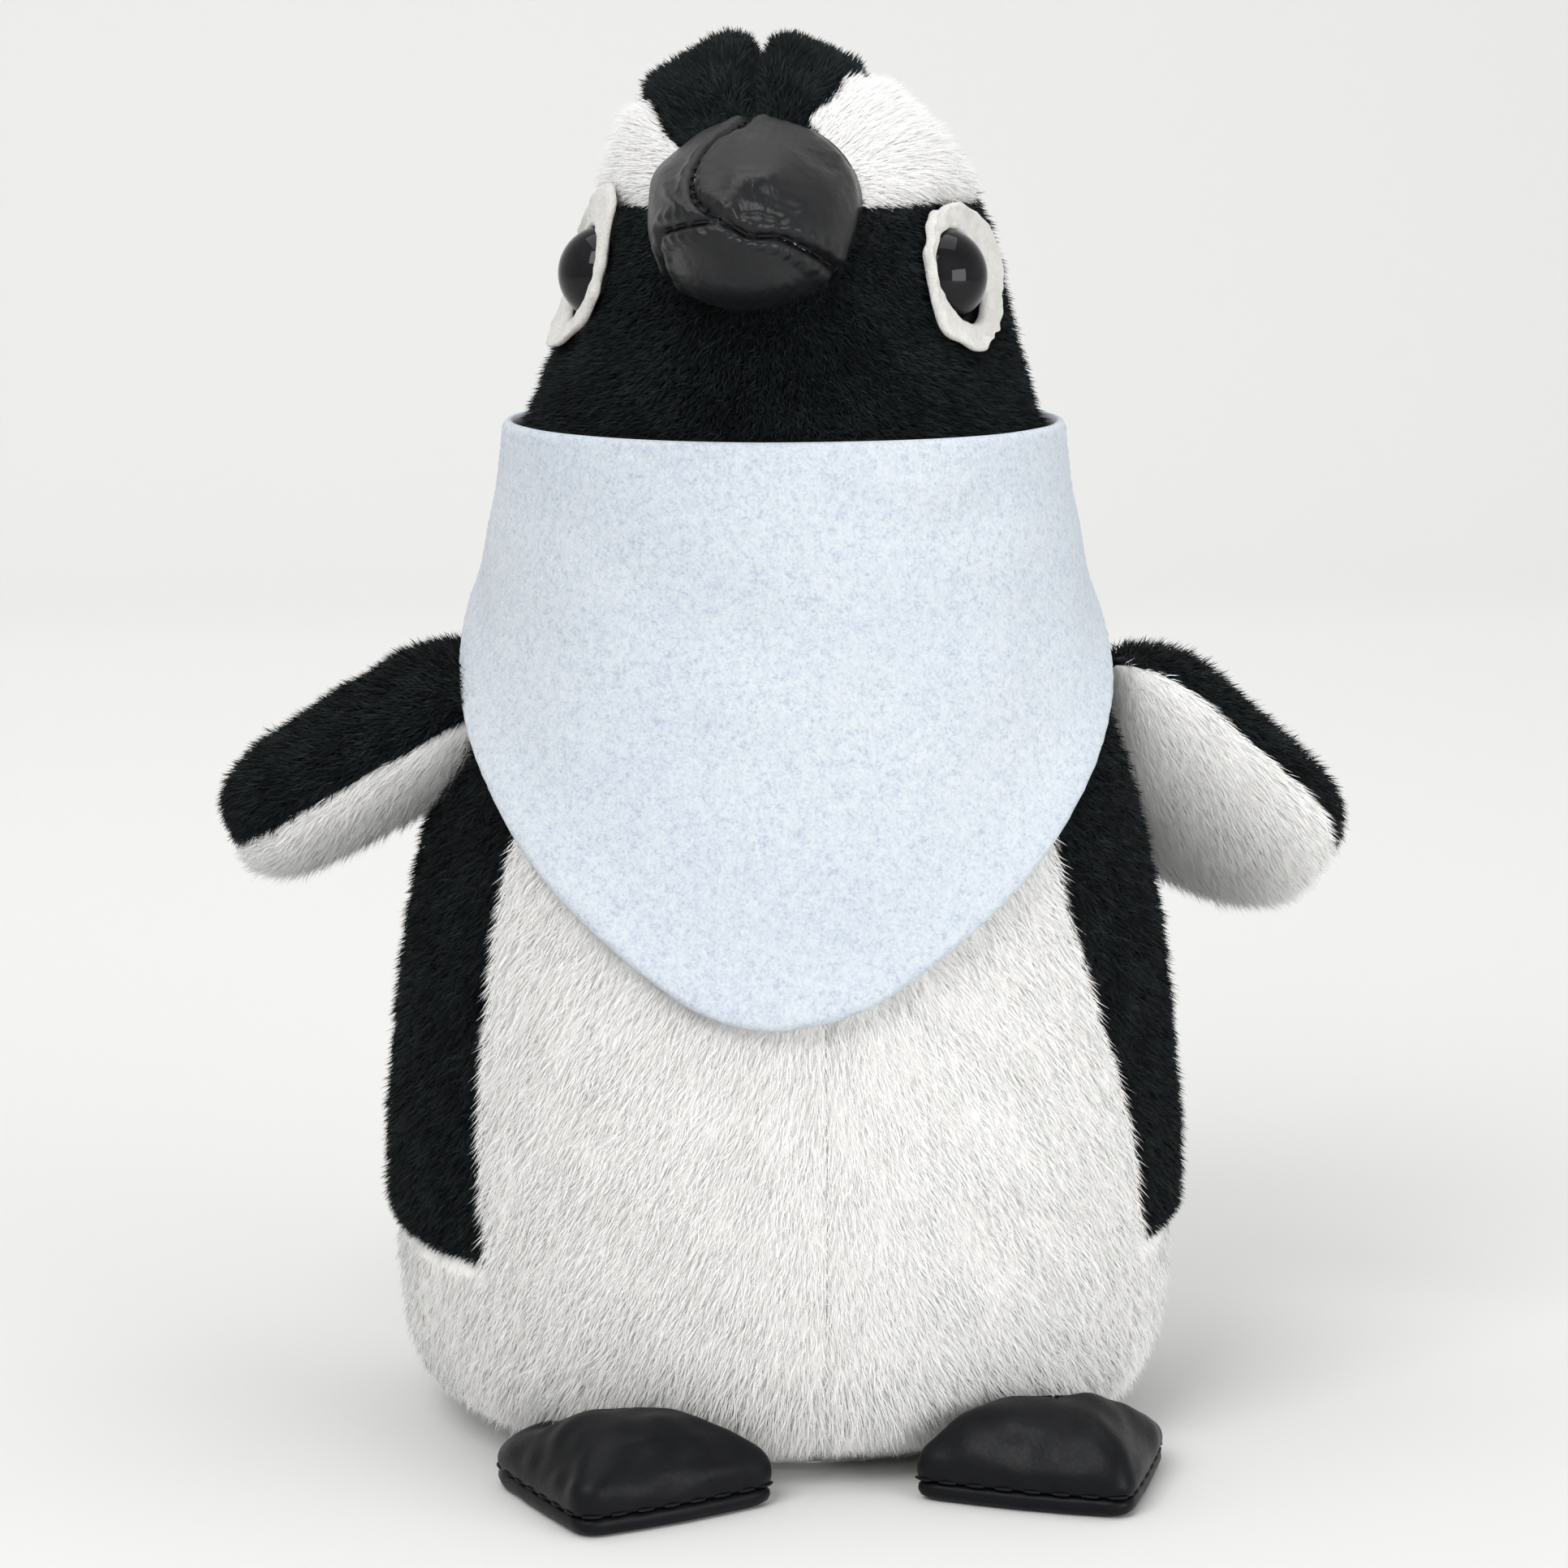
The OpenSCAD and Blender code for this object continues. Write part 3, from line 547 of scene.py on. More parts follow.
eye_gloss = simple_material("eye_gloss", (0.004, 0.004, 0.005), (0.010, 0.0105, 0.012),
                            0.06, 4, 0.004, Specular_IOR_Level=0.2)


def finish_piece(o, node, body=None):
    """o stands for its CAD node, which is hidden, and rides its body if one is given."""
    names = [node] if isinstance(node, str) else list(node)
    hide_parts(*names)
    if body:
        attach(o, body)
    return o


FABRIC = {"white_pile": (white_cloth, WHITE), "black_pile": (black_cloth, BLACK)}


def panel(names, node, slot, surface, step, edge, grid, keep, spread, comb, count, seed, look,
          thick=1.1, base=CLOTH_OFF, body="torso", bend=None, weight=None,
          change=None):
    """A panel of pile fabric: its cloth on the grid (u, v), which stands for its CAD node,
    and over it count blades, in the part of the surface that spread (us, vs, inside) gives."""
    backing, tones = FABRIC[slot]
    o = cloth(names.format("cloth"), surface, *grid, edge, step, backing, keep, thick, base)
    finish_piece(o, node, None if bend else body)
    if bend:
        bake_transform(o)
    o = pile(names.format("pile"), surface, *spread, edge, step, comb, count, tones, seed,
             look, weight, change, body, bend, base)


def everywhere(u, v):
    """The test of a panel that covers its whole surface."""
    return np.ones(np.shape(u), bool)


# ---- Body ----------------------------------------------------------------------

# Height, half width, and depths to the front and to the back
BODY = np.array([
    [0, 29, 25, 25.5], [2.5, 34.2, 29.2, 29], [6, 38.4, 32.5, 31.6],
    [11, 40, 34.6, 33], [16, 40.5, 35.4, 33.5], [22, 41, 35.8, 33.7],
    [30, 41, 35.9, 33.5], [40, 40.2, 35.2, 32.8], [50, 39.1, 34, 31.9],
    [60, 37.3, 32.3, 30.9], [68, 35.2, 30.9, 30], [76, 32.6, 29.5, 29.1],
    [84, 30.2, 28.4, 28.2], [92, 28.4, 27.5, 27.5], [98, 26.9, 26.9, 26.9],
    [104, 26.2, 26.2, 26.2],
])
body_side, body_front, body_back = (curve(BODY[:, 0], BODY[:, c]) for c in (1, 2, 3))
body_power = curve([0, 76, 98, 104], [2.2, 2.2, 2, 2])
# Heights of the black panels' hem and of the body's upper end, and steps for its slopes
HEM, BODY_TOP = 21.3, 97.8
BODY_STEP = (0.5, 0.3)
# Turn at which the white panel ends on each side, by height
split_left = curve([18, 25, 38, 50, 61, 75, 98], [59, 56.5, 51.5, 44.5, 41, 42, 44])
split_right = curve([18, 24, 29, 38, 50, 61, 75, 98], [56, 53.5, 54, 55.5, 55.5, 55, 52, 48])


def split_at(z, u):
    """Turn at which the white panel ends, on the side that u's sign gives."""
    return np.where(u > 0, split_left(z), split_right(z))


def body(turn, z):
    """The body's fabric: at each height an oval whose half width and depths come from the
    table."""
    x, y = oval(turn, body_side(z), body_front(z), body_back(z), body_power(z))
    return np.stack([x, y, z + 0 * x], -1)


def belly_inside(u, z):
    """Below the hem all the way round, and over it between the two splits."""
    return (z < HEM) | (np.abs(u) < split_at(z, u))


def belly_edge(u, z, p):
    """Distance from the belly panel's seams: the strip's edge, the hem, the back and the
    middle, whose seam is fine and so counts as four times as far and never very near."""
    t = np.abs(u)
    r = np.hypot(p[..., 0], p[..., 1])
    strip = r * np.radians(np.abs(split_at(z, u) - t))
    below = np.where(t > split_at(z, u), np.abs(HEM - z), np.hypot(strip, HEM - z))
    cut = np.where(z > HEM, strip, below)
    middle = np.maximum(4 * r * np.radians(t), 1.3)
    return np.minimum(np.minimum(middle, r * np.radians(180 - t)), cut)


def back_inside(u, z):
    """Over the hem, from the split round to the back."""
    return (z > HEM) & (np.abs(u) > split_at(z, u))


def back_edge(u, z, p):
    """Distance from the back panel's seams: the split, the hem and the middle of the back."""
    t = np.abs(u)
    r = np.hypot(p[..., 0], p[..., 1])
    strip = r * np.radians(np.abs(t - split_at(z, u)))
    return np.minimum(np.minimum(strip, np.abs(z - HEM)), r * np.radians(180 - t))


# Heights of the cloth's rows of points, closest near the base and the hem
low_z = np.concatenate([[0, 0.5, 1.2, 2, 3, 4.2, 5.5, 7, 9, 11, 13, 15, 17],
                        HEM - np.array([1.6, 0.9, 0.4, 0.0])])
high_z = HEM + (BODY_TOP - HEM) * graded(52)
# Height of the bib's lower edge by the turn from its lowest point, which is off the middle
BIB_SKEW = 6
bib_edge = curve([0, 4, 10, 17, 25, 34, 42, 51, 60, 70, 80, 90, 100, 115, 180, 210],
                 [47.4, 47.8, 49.3, 52.4, 56.3, 60.6, 64.5, 68.7, 72.4, 76.2, 79.8, 83, 85.4,
                  87, 87, 87])


def bib_low(turn):
    """Height of the bib's lower edge, which hangs a little towards the toy's right."""
    return bib_edge(np.abs(turn + BIB_SKEW))


def under_bib(u, z):
    """1 well under the bib and 0 outside it."""
    return smoothstep(z - bib_low(u), -0.5, 2.5)


def body_change(u, z, p):
    """Pile is pressed flat under the bib, is short where it turns under the base, over the
    hem and round the hips, and hangs longer over the feet."""
    b = under_bib(u, z)
    low = smoothstep(z, 0.5, 6)
    hem = np.exp(-(((z - HEM) / 2.2) ** 2)) * (z > HEM) * (np.abs(u) > split_at(z, u))
    hip = smoothstep(np.abs(u), 50, 75) * (z < HEM)
    skirt = np.exp(-(((z - 9) / 3.5) ** 2)) * (1 - smoothstep(np.abs(u), 45, 65))
    short = (1 - 0.45 * b) * (0.35 + 0.65 * low) * (1 - 0.3 * hem) * (1 - 0.3 * hip)
    return short * (1 + 0.6 * skirt), 22 * b - 20 * hem - 14 * skirt


def belly_comb(p, n):
    """White pile lies down and away from the middle seam."""
    x = p[..., 0]
    out = np.tanh(x / 9) * 0.5
    return np.stack([out, 0 * x - 0.1, -0.85 + 0 * x], -1)


def back_comb(p, n):
    """Black pile lies straight down."""
    return np.stack([0 * p[..., 0], 0 * p[..., 0], -1 + 0 * p[..., 0]], -1)


# Lengths and widths in mm, lean and its stray and curl in degrees, and shares for the rest
long_white = dict(length=2.9, lean=63, stray=12, curl=18, width=0.075, tuft=0.14,
                  tuft_size=4, mess=0.2, soft=1.0, uneven=0.04)
short_black = dict(length=2.3, lean=32, stray=16, curl=24, width=0.15, tuft=0.3,
                   tuft_size=4, mess=0.35, soft=0.6, uneven=0.1)


def bib_weight(u, v):
    """Fewer blades where the bib covers them."""
    return 1 - 0.45 * under_bib(u, v)


# Turns at which the cloth starts and ends, and cells across the white panel in front of
# its side edge, across it behind that, and across the black panel
MIDDLE, BACK_SEAM = 0.03, 179.85
FRONT_CELLS, REAR_CELLS, BACK_CELLS = 34, 56, 70


def body_half(name, sign):
    """One side of the body: its white panel, which runs on round to the back below the hem,
    and its black panel over the hem."""
    rows = np.concatenate([low_z, high_z[1:]])
    split = split_at(rows, sign)[:, None]
    u = np.concatenate([MIDDLE + (split - MIDDLE) * graded(FRONT_CELLS),
                        split + (BACK_SEAM - split) * graded(REAR_CELLS)[1:]], 1)
    v = np.repeat(rows[:, None], u.shape[1], 1)
    below_hem = np.arange(len(rows) - 1)[:, None] < len(low_z) - 1
    keep = below_hem | (np.arange(u.shape[1] - 1)[None] < FRONT_CELLS)
    if sign < 0:
        u, keep = -u[:, ::-1], keep[:, ::-1]
    us, vs = np.sort(np.linspace(0.1, 179.9, 181) * sign), np.linspace(0.3, BODY_TOP, 160)
    panel(f"belly_{{}}_{name}", f"belly_panel_{name}", "white_pile", body, BODY_STEP,
          belly_edge, (u, v), keep, (us, vs, belly_inside), belly_comb, 95000, 21 + sign,
          long_white, weight=bib_weight, change=body_change)
    split = split[len(low_z) - 1:]
    u = split + 0.2 + (BACK_SEAM - 0.2 - split) * graded(BACK_CELLS)
    v = np.repeat(high_z[:, None], u.shape[1], 1)
    v[0] += 0.1
    if sign < 0:
        u = -u[:, ::-1]
    panel(f"back_{{}}_{name}", f"back_panel_{name}", "black_pile", body, BODY_STEP,
          back_edge, (u, v), None, (us, vs, back_inside), back_comb, 92000, 31 + sign,
          short_black, weight=bib_weight, change=body_change)


def base_cloth():
    """The base: the body's lowest oval, shrunk and raised ring by ring into a flat panel
    with rounded edges. Each ring is its share of that oval and its height."""
    rings = [(0.02, 0.02), (0.5, 0.02), (0.93, 0.02), (0.985, 0.25), (0.99, 0.7),
             (0.95, 1.2), (0.5, 1.3), (0.02, 1.3)]
    turn = np.linspace(0, 360, 121)[:-1]
    oval_0 = body(turn, 0 * turn) * 0.97
    grid = np.stack([np.stack([oval_0[:, 0] * k, oval_0[:, 1] * k, 0 * turn + z], -1)
                     for k, z in rings])
    finish_piece(skin_piece("base_cloth", grid, white_cloth), "base_panel",
                 "torso")


for name, sign in (("left", 1), ("right", -1)):
    body_half(name, sign)
base_cloth()

# ---- Head ----------------------------------------------------------------------

# Height over the neck, half width, and depths to the front and to the back
HEAD = np.array([
    [0, 27.4, 27.4, 27.4], [4, 26.7, 26.6, 26.7], [7, 25.5, 25.3, 25.5],
    [11.4, 24.4, 24.2, 24.6], [16, 23.3, 23.2, 23.9], [20.5, 22.3, 22.3, 23.1],
    [25, 21, 21.2, 22], [28.7, 19.5, 19.6, 20.6], [32, 17.8, 17.4, 18.8],
    [35.3, 15.7, 14.8, 16.6], [37.7, 13.7, 12.4, 14.4], [40.2, 11.4, 9.6, 11.8],
    [42, 8.6, 6.8, 8.8], [43.4, 4.8, 3.6, 4.6], [44, 0.3, 0.3, 0.3],
])
reach = np.concatenate([[0], np.cumsum(np.hypot(np.diff(HEAD[:, 0]), np.diff(HEAD[:, 1])))])
head_h, head_side, head_front, head_back = (curve(reach, HEAD[:, c]) for c in range(4))
reach_fine = np.linspace(0, reach[-1], 600)
height_fine = head_h(reach_fine)
NECK = 98.15
HEAD_TURN = math.radians(-15)
HEAD_STEP = (0.6, 0.15)
HEAD_POWER = 2.05
# Place of each eye in the head's own frame, and depth and reach of the dent round it
EYE_Y, EYE_H = -9.2, 21.0
DENT, DENT_REACH = 3.4, 6.5


def along(h):
    """How far up the head's profile a height over the neck is."""
    return np.interp(h, height_fine, reach_fine)


def about_z(p, angle):
    """Points or directions turned about the upright axis."""
    c, s = math.cos(angle), math.sin(angle)
    return np.stack([p[..., 0] * c - p[..., 1] * s, p[..., 0] * s + p[..., 1] * c,
                     p[..., 2]], -1)


def turned(p):
    """The head's own frame into the toy's: turned towards the toy's right."""
    return about_z(p, HEAD_TURN)


def eye_dent(sideways, y, h):
    """Thread draws the head in round each eye, by a bell over its distance."""
    away = (y - EYE_Y) ** 2 + (h - EYE_H) ** 2
    return DENT * sideways ** 2 * np.exp(-away / (2 * DENT_REACH ** 2))


def head(turn, t):
    """The head's fabric in the toy's frame: ovals up its profile, dented at the eyes, with
    a notch along the middle seam of the crown and a low bulge on either side of it."""
    side = head_side(t)
    h = head_h(t)
    x, y = oval(turn, side, head_front(t), head_back(t), HEAD_POWER)
    crown = smoothstep(h, 33, 42)
    lift = 0.7 * np.exp(-((np.abs(x) - 3.4) / 2.6) ** 2) - 0.7 * np.exp(-((x / 1.3) ** 2))
    x = x - np.sign(x) * eye_dent(x / side, y, h)
    x = x - 2.3 * smoothstep(h, 30, 44)
    return turned(np.stack([x, y, NECK + h + crown * lift], -1))


# Turns at the back of the face and of the brow patch, and height of the patch's lower edge
FACE_BACK, BROW_BACK, BROW_LOW = 100, 122, 28.8


def brow_high(u):
    """Height of the brow patch's upper edge, on the side that u's sign gives."""
    return np.where(u > 0, 40.8, 38.4)


def brow_turn(h, u):
    """Turn of the brow patch's inner edge, on the side that u's sign gives."""
    left = np.interp(h, [BROW_LOW, 37, 40.8], [33, 21, 52])
    right = np.interp(h, [BROW_LOW, 33.5, 38.4], [33, 26, 56])
    return np.where(u > 0, left, right)


def in_brow(u, t):
    """Between the patch's lower and upper edges and its inner and rear ones."""
    h, a = head_h(t), np.abs(u)
    return (h > BROW_LOW) & (h < brow_high(u)) & (a > brow_turn(h, u)) & (a < BROW_BACK)


def in_face(u, t):
    """Below the brow, as far round as the back of the face."""
    return (head_h(t) < BROW_LOW) & (np.abs(u) < FACE_BACK)


def in_cap(u, t):
    """The rest of the head."""
    return ~in_brow(u, t) & ~in_face(u, t)


def head_radius(t):
    """Mean of the head's half width and its depth to the front."""
    return (head_side(t) + head_front(t)) / 2


def brow_edge(u, t, p):
    """Distance from the brow patch's four edges."""
    h, a = head_h(t), np.abs(u)
    r = head_radius(t)
    rows = np.minimum(np.abs(t - along(BROW_LOW)), np.abs(along(brow_high(u)) - t))
    cols = np.minimum(np.abs(a - brow_turn(h, u)), np.abs(BROW_BACK - a)) * np.pi / 180 * r
    return np.minimum(rows, cols)


def face_edge(u, t, p):
    """Distance from the face's rear and upper edges."""
    side = np.abs(FACE_BACK - np.abs(u)) * np.pi / 180 * head_radius(t)
    return np.minimum(side, np.abs(along(BROW_LOW) - t))


def cap_edge(u, t, p):
    """Distance from the cap's seams: the crown's middle, the brow patch and the face."""
    h, a = head_h(t), np.abs(u)
    r = head_radius(t)
    middle = np.minimum(np.abs(a), np.abs(180 - a)) * np.pi / 180 * r
    front = np.where(a < 90, np.where(h > BROW_LOW - 1, middle, 99), middle)
    beside = np.where((h > BROW_LOW) & (h < brow_high(u)),
                      np.minimum(np.abs(a - brow_turn(h, u)), np.abs(a - BROW_BACK))
                      * np.pi / 180 * r, 99)
    top = brow_high(u)
    over = np.where((a > brow_turn(top, u)) & (a < BROW_BACK) & (h >= top), t - along(top), 99)
    low = np.where(h < BROW_LOW, np.abs(a - FACE_BACK) * np.pi / 180 * r,
                   np.where(a < 33, t - along(BROW_LOW), 99))
    return np.minimum(np.minimum(front, beside), np.minimum(over, low))


# Reach of each felt patch from the eye's middle, by the angle from its front upwards
PATCH_LEFT = curve([0, 40, 75, 95, 120, 150, 172, 200, 230, 262, 290, 312, 335, 360],
                   [5.8, 5.9, 6.8, 7.2, 7.6, 8.8, 9.2, 8.0, 6.5, 6.3, 7.6, 8.0, 6.6, 5.8])
PATCH_RIGHT = curve([0, 40, 80, 100, 130, 170, 200, 225, 250, 275, 310, 360],
                    [6.5, 7.0, 8.9, 8.4, 6.3, 5.9, 7.6, 8.9, 8.0, 7.3, 7.0, 6.5])
# The beak's height over the neck, half width, half height and how far it stands out
BEAK_H, BEAK_R, BEAK_HR, BEAK_OUT = 27.7, 10.9, 9.7, 15.5


def own(p):
    """The toy's frame into the head's own."""
    return about_z(p, -HEAD_TURN) - [0, 0, NECK]


def covered(p):
    """True where felt or the beak covers the head."""
    q = own(p)
    dy, dh = q[..., 1] - EYE_Y, q[..., 2] - EYE_H
    angle = np.degrees(np.arctan2(dh, -dy)) % 360
    patch = np.where(q[..., 0] > 0, PATCH_LEFT(angle), PATCH_RIGHT(angle))
    under_felt = (np.hypot(dy, dh) < patch - 0.9) & (np.abs(q[..., 0]) > 10)
    in_beak = (q[..., 0] / BEAK_R) ** 2 + ((q[..., 2] - BEAK_H) / BEAK_HR) ** 2 < 0.86
    return under_felt | (in_beak & (q[..., 1] < 0))


def open_to(inside):
    """A panel's own test, but only where felt and the beak leave the head open."""
    def test(u, t):
        return inside(u, t) & ~covered(head(u, t)) & (head_h(t) > 0.6)

    return test


def head_comb(p, n):
    """Pile on the head lies down and away from the beak, and backwards over the crown."""
    q = own(p)
    top = smoothstep(q[..., 2], 24, 38)
    return turned(np.stack([q[..., 0] * 0.05, 0.25 + 0.9 * top, -1 + 0.75 * top], -1))


def head_change(u, t, p):
    """Pile is shorter beside the eyes and the beak, and flat where the bib covers it."""
    q = own(p)
    beak = np.hypot(q[..., 0] / BEAK_R, (q[..., 2] - BEAK_H) / BEAK_HR)
    near_beak = np.exp(-(((beak - 1) / 0.22) ** 2)) * (q[..., 1] < 0)
    near_eye = np.exp(-((np.hypot(q[..., 1] - EYE_Y, q[..., 2] - EYE_H) - 8) / 2.5) ** 2)
    low = 1 - smoothstep(q[..., 2], 2, 5)
    return 1 - 0.3 * near_beak - 0.25 * near_eye - 0.15 * low, 10 * low


head_black = dict(short_black, length=2.3, lean=30, stray=18)
brow_white = dict(long_white, length=3.0, lean=46)
low_t = along(BROW_LOW)
# Cells of the cap's grid: up to the brow, beside it and over it, and round from the front
# seam to the brow, the back of the face, the back of the brow and the back seam
LOW_CELLS, BROW_CELLS, TOP_CELLS = 34, 18, 19
ROUND_CELLS = (14, 26, 10, 24)
HALF_SEAM = 0.15


def head_half(name, sign):
    """One side of the head: its black cap, which leaves room for the face and the brow, and
    its white brow patch."""
    top_t = along(brow_high(sign))
    brow_rows = low_t + (top_t - low_t) * graded(BROW_CELLS)
    top_rows = top_t + (reach[-1] - top_t) * np.linspace(0, 1, TOP_CELLS + 1)
    rows = np.concatenate([low_t * graded(LOW_CELLS), brow_rows[1:], top_rows[1:]])
    b = brow_turn(head_h(rows)[:, None], sign)
    parting, cheek, temple, nape = (graded(n) for n in ROUND_CELLS)
    seam = 2 * HALF_SEAM
    u = np.concatenate([
        HALF_SEAM + (b - seam) * parting,
        b + HALF_SEAM + (FACE_BACK - seam - b) * cheek[1:],
        FACE_BACK + HALF_SEAM + (BROW_BACK - FACE_BACK - seam) * temple[1:] + 0 * b,
        BROW_BACK + HALF_SEAM + (180 - BROW_BACK - seam) * nape[1:] + 0 * b], 1)
    v = np.repeat(rows[:, None], u.shape[1], 1)
    i, j = np.arange(len(rows) - 1)[:, None], np.arange(u.shape[1] - 1)[None]
    to_brow, to_face_back, to_brow_back = np.cumsum(ROUND_CELLS)[:3]
    beside_brow = (j < to_brow) | (j >= to_brow_back)
    keep = (i >= LOW_CELLS + BROW_CELLS) | ((i < LOW_CELLS) & (j >= to_face_back))
    keep = keep | ((i >= LOW_CELLS) & beside_brow)
    if sign < 0:
        u, keep = -u[:, ::-1], keep[:, ::-1]
    us = np.sort(np.linspace(0.2, 179.8, 181) * sign)
    vs = np.linspace(0.1, reach[-1] - 0.3, 110)
    panel(f"head_cap_{{}}_{name}", f"head_cap_{name}", "black_pile", head, HEAD_STEP,
          cap_edge, (u, v), keep, (us, vs, open_to(in_cap)), head_comb, 44000, 41 + sign,
          head_black, 0.7, body="head", change=head_change)
    b = brow_turn(head_h(brow_rows), sign)[:, None]
    u = b + HALF_SEAM + (BROW_BACK - seam - b) * graded(50)
    v = np.repeat(brow_rows[:, None], u.shape[1], 1)
    if sign < 0:
        u = -u[:, ::-1]
    panel(f"brow_{{}}_{name}", f"brow_patch_{name}", "white_pile", head, HEAD_STEP,
          brow_edge, (u, v), None, (us, vs, open_to(in_brow)), head_comb, 20000, 51 + sign,
          brow_white, 0.7, body="head", change=head_change)


def face_fabric():
    """The cheeks, face and chin, in one black panel."""
    side = FACE_BACK - HALF_SEAM
    grid = np.meshgrid(-side + 2 * side * graded(90), low_t * graded(LOW_CELLS))
    spread = (np.linspace(-FACE_BACK, FACE_BACK, 201), np.linspace(0.1, low_t, 80),
              open_to(in_face))
    panel("face_{}", "face_panel", "black_pile", head, HEAD_STEP, face_edge, grid, None,
          spread, head_comb, 66000, 61, head_black, 0.7, body="head", change=head_change)


for name, sign in (("left", 1), ("right", -1)):
    head_half(name, sign)
face_fabric()

# ---- Flippers and tail -----------------------------------------------------------

# A paddle's half width, by the share of the way to its tip
paddle_shape = curve([-0.65, -0.2, 0.1, 0.4, 0.68, 0.88, 1],
                     [1.16, 1.13, 1.06, 1, 0.95, 0.76, 0.45])


def paddle(length, half_w, half_t, root_r, droop=0.0, lift=0.0):
    """A stuffed paddle about its own axis: u is the turn about it, from the edge towards
    +Y over the outer face, and v the distance from its hinge line. Past its root it bends
    down, by droop at its tip, and its root end is raised by lift."""

    def at(u, v):
        c, s = np.cos(np.radians(u)), np.sin(np.radians(u))
        x = np.minimum(v, length * 0.9995)
        end = np.sqrt(np.maximum(1 - np.maximum(x / length, 0) ** 6, 0))
        t = root_r + (half_t - root_r) * smoothstep(x / length, 0, 0.6)
        w = half_w * paddle_shape(x / length)
        root = np.sqrt(np.clip(1 - (np.minimum(x + 4, 0) / 9) ** 2, 0.02, 1))
        sag = -droop * np.maximum(x / length, 0) ** 2 + lift * (1 - smoothstep(x, -8, 9))
        width = w * (0.35 + 0.65 * end) * (0.5 + 0.5 * root)
        width = width * (1 + 0.3 * (c > 0) * (1 - smoothstep(x, 0.2 * length, 0.95 * length)))
        return np.stack([x + 0 * c, width * c, t * end * root * s + sag], -1)

    return at


def rotation(axis, degrees):
    """The matrix of a turn about one axis."""
    c, s = math.cos(math.radians(degrees)), math.sin(math.radians(degrees))
    i, j = {"x": (1, 2), "y": (2, 0), "z": (0, 1)}[axis]
    m = np.eye(3)
    m[i, i], m[i, j], m[j, i], m[j, j] = c, -s, s, c
    return m


def posed(surface, turn, shift, mirror=False):
    """The surface turned and then moved, and mirrored left to right if asked, with u run
    backwards so that its outside stays outside."""

    def at(u, v):
        q = surface(-u if mirror else u, v) @ turn.T + shift
        return q * [-1, 1, 1] if mirror else q

    return at


def paddle_edge(half_w, length):
    """Distance from the seam that runs round the paddle's edge."""

    def at(u, v, p):
        side = np.abs(np.sin(np.radians(u))) * half_w * 0.8
        return np.minimum(side, np.maximum(length - v, 0) * 1.2)

    return at


# From the shoulder's hinge line: the tip, and the root inside the body
FLIPPER_LEN, FLIPPER_HALF_W = 19.5, 12
FLIPPER = paddle(FLIPPER_LEN, FLIPPER_HALF_W, 6.3, 6.6, 0.6, 0.3)
FLIPPER_ROOT = -12.5
FLIPPER_OFF = -0.1
PADDLE_STEP = (0.8, 0.1)
flipper_black = dict(short_black, length=2.4, lean=36)
flipper_white = dict(long_white, length=3.0, lean=52)


def paddle_comb(turn, flip=(1, 1, 1)):
    """Pile on a paddle lies along it, from its root to its tip, and a little down."""
    way = turn @ np.array([1, 0, 0]) * flip + [0, 0, -0.35]
    return lambda p, n: np.broadcast_to(way, p.shape)


def flipper(name, flip, hinge, droop, twist):
    """One flipper: a paddle turned to droop and twist at its hinge, black on its outer face
    and white on its inner one."""
    mirror = flip[0] < 0
    turn = rotation("y", droop) @ rotation("x", -twist)
    surface = posed(FLIPPER, turn, hinge, mirror)
    way, hinge = turn @ np.array([1, 0, 0]) * flip, hinge * flip
    bend = ("torso", f"flipper_{name}", tuple((hinge - way * 6) * MM),
            tuple((hinge + way * 2) * MM))
    edge = paddle_edge(FLIPPER_HALF_W, FLIPPER_LEN)
    for face, low, slot, look, seed in (("outer", 0, "black_pile", flipper_black, 71),
                                        ("inner", 180, "white_pile", flipper_white, 76)):
        u = low + 0.4 + 179.2 * graded(30)
        v = FLIPPER_ROOT + (FLIPPER_LEN - 0.03 - FLIPPER_ROOT) * graded(40)
        if mirror:
            u = -u[::-1]
        us = np.sort(np.linspace(low + 1, low + 179, 60) * flip[0])
        vs = np.linspace(FLIPPER_ROOT + 0.3, FLIPPER_LEN - 0.1, 80)
        panel(f"flipper_{name}_{face}_{{}}", f"flipper_{name}_{face}", slot, surface,
              PADDLE_STEP, edge, np.meshgrid(u, v), None, (us, vs, everywhere),
              paddle_comb(turn, flip), 26000, seed + mirror, look, 0.8, FLIPPER_OFF,
              bend=bend)


def tail(length=15, half_w=8, half_t=3.4):
    """A short stuffed tail, black above and below."""
    turn = rotation("z", 90) @ rotation("y", 32)
    surface = posed(paddle(length, half_w, half_t, half_t), turn, np.array([0, 37.2, 21]))
    edge = paddle_edge(half_w, length)
    for face, low, seed in (("upper", 0, 81), ("under", 180, 82)):
        grid = np.meshgrid(low + 0.4 + 179.2 * graded(24), -6 + 20.9 * graded(24))
        spread = (np.linspace(low + 1, low + 179, 50), np.linspace(-4, length - 0.2, 50),
                  everywhere)
        panel(f"tail_{face}_{{}}", f"tail_{face}", "black_pile", surface, PADDLE_STEP, edge,
              grid, None, spread, paddle_comb(turn), 9000, seed, flipper_black, 0.6)


# Each hinge is given as on the left side, and the right flipper is mirrored
flipper("left", (1, 1, 1), np.array([41.2, 4, 67]), droop=36, twist=34)
flipper("right", (-1, 1, 1), np.array([39.4, 4, 70.5]), droop=28, twist=3)
tail()

# ---- Beak ------------------------------------------------------------------------


def face_y(x, h):
    """How far forward the face is at x and height h over the neck, in the head's frame."""
    t = along(h)
    inside = np.clip(1 - (np.abs(x) / head_side(t)) ** HEAD_POWER, 0, 1)
    return -head_front(t) * inside ** (1 / HEAD_POWER)


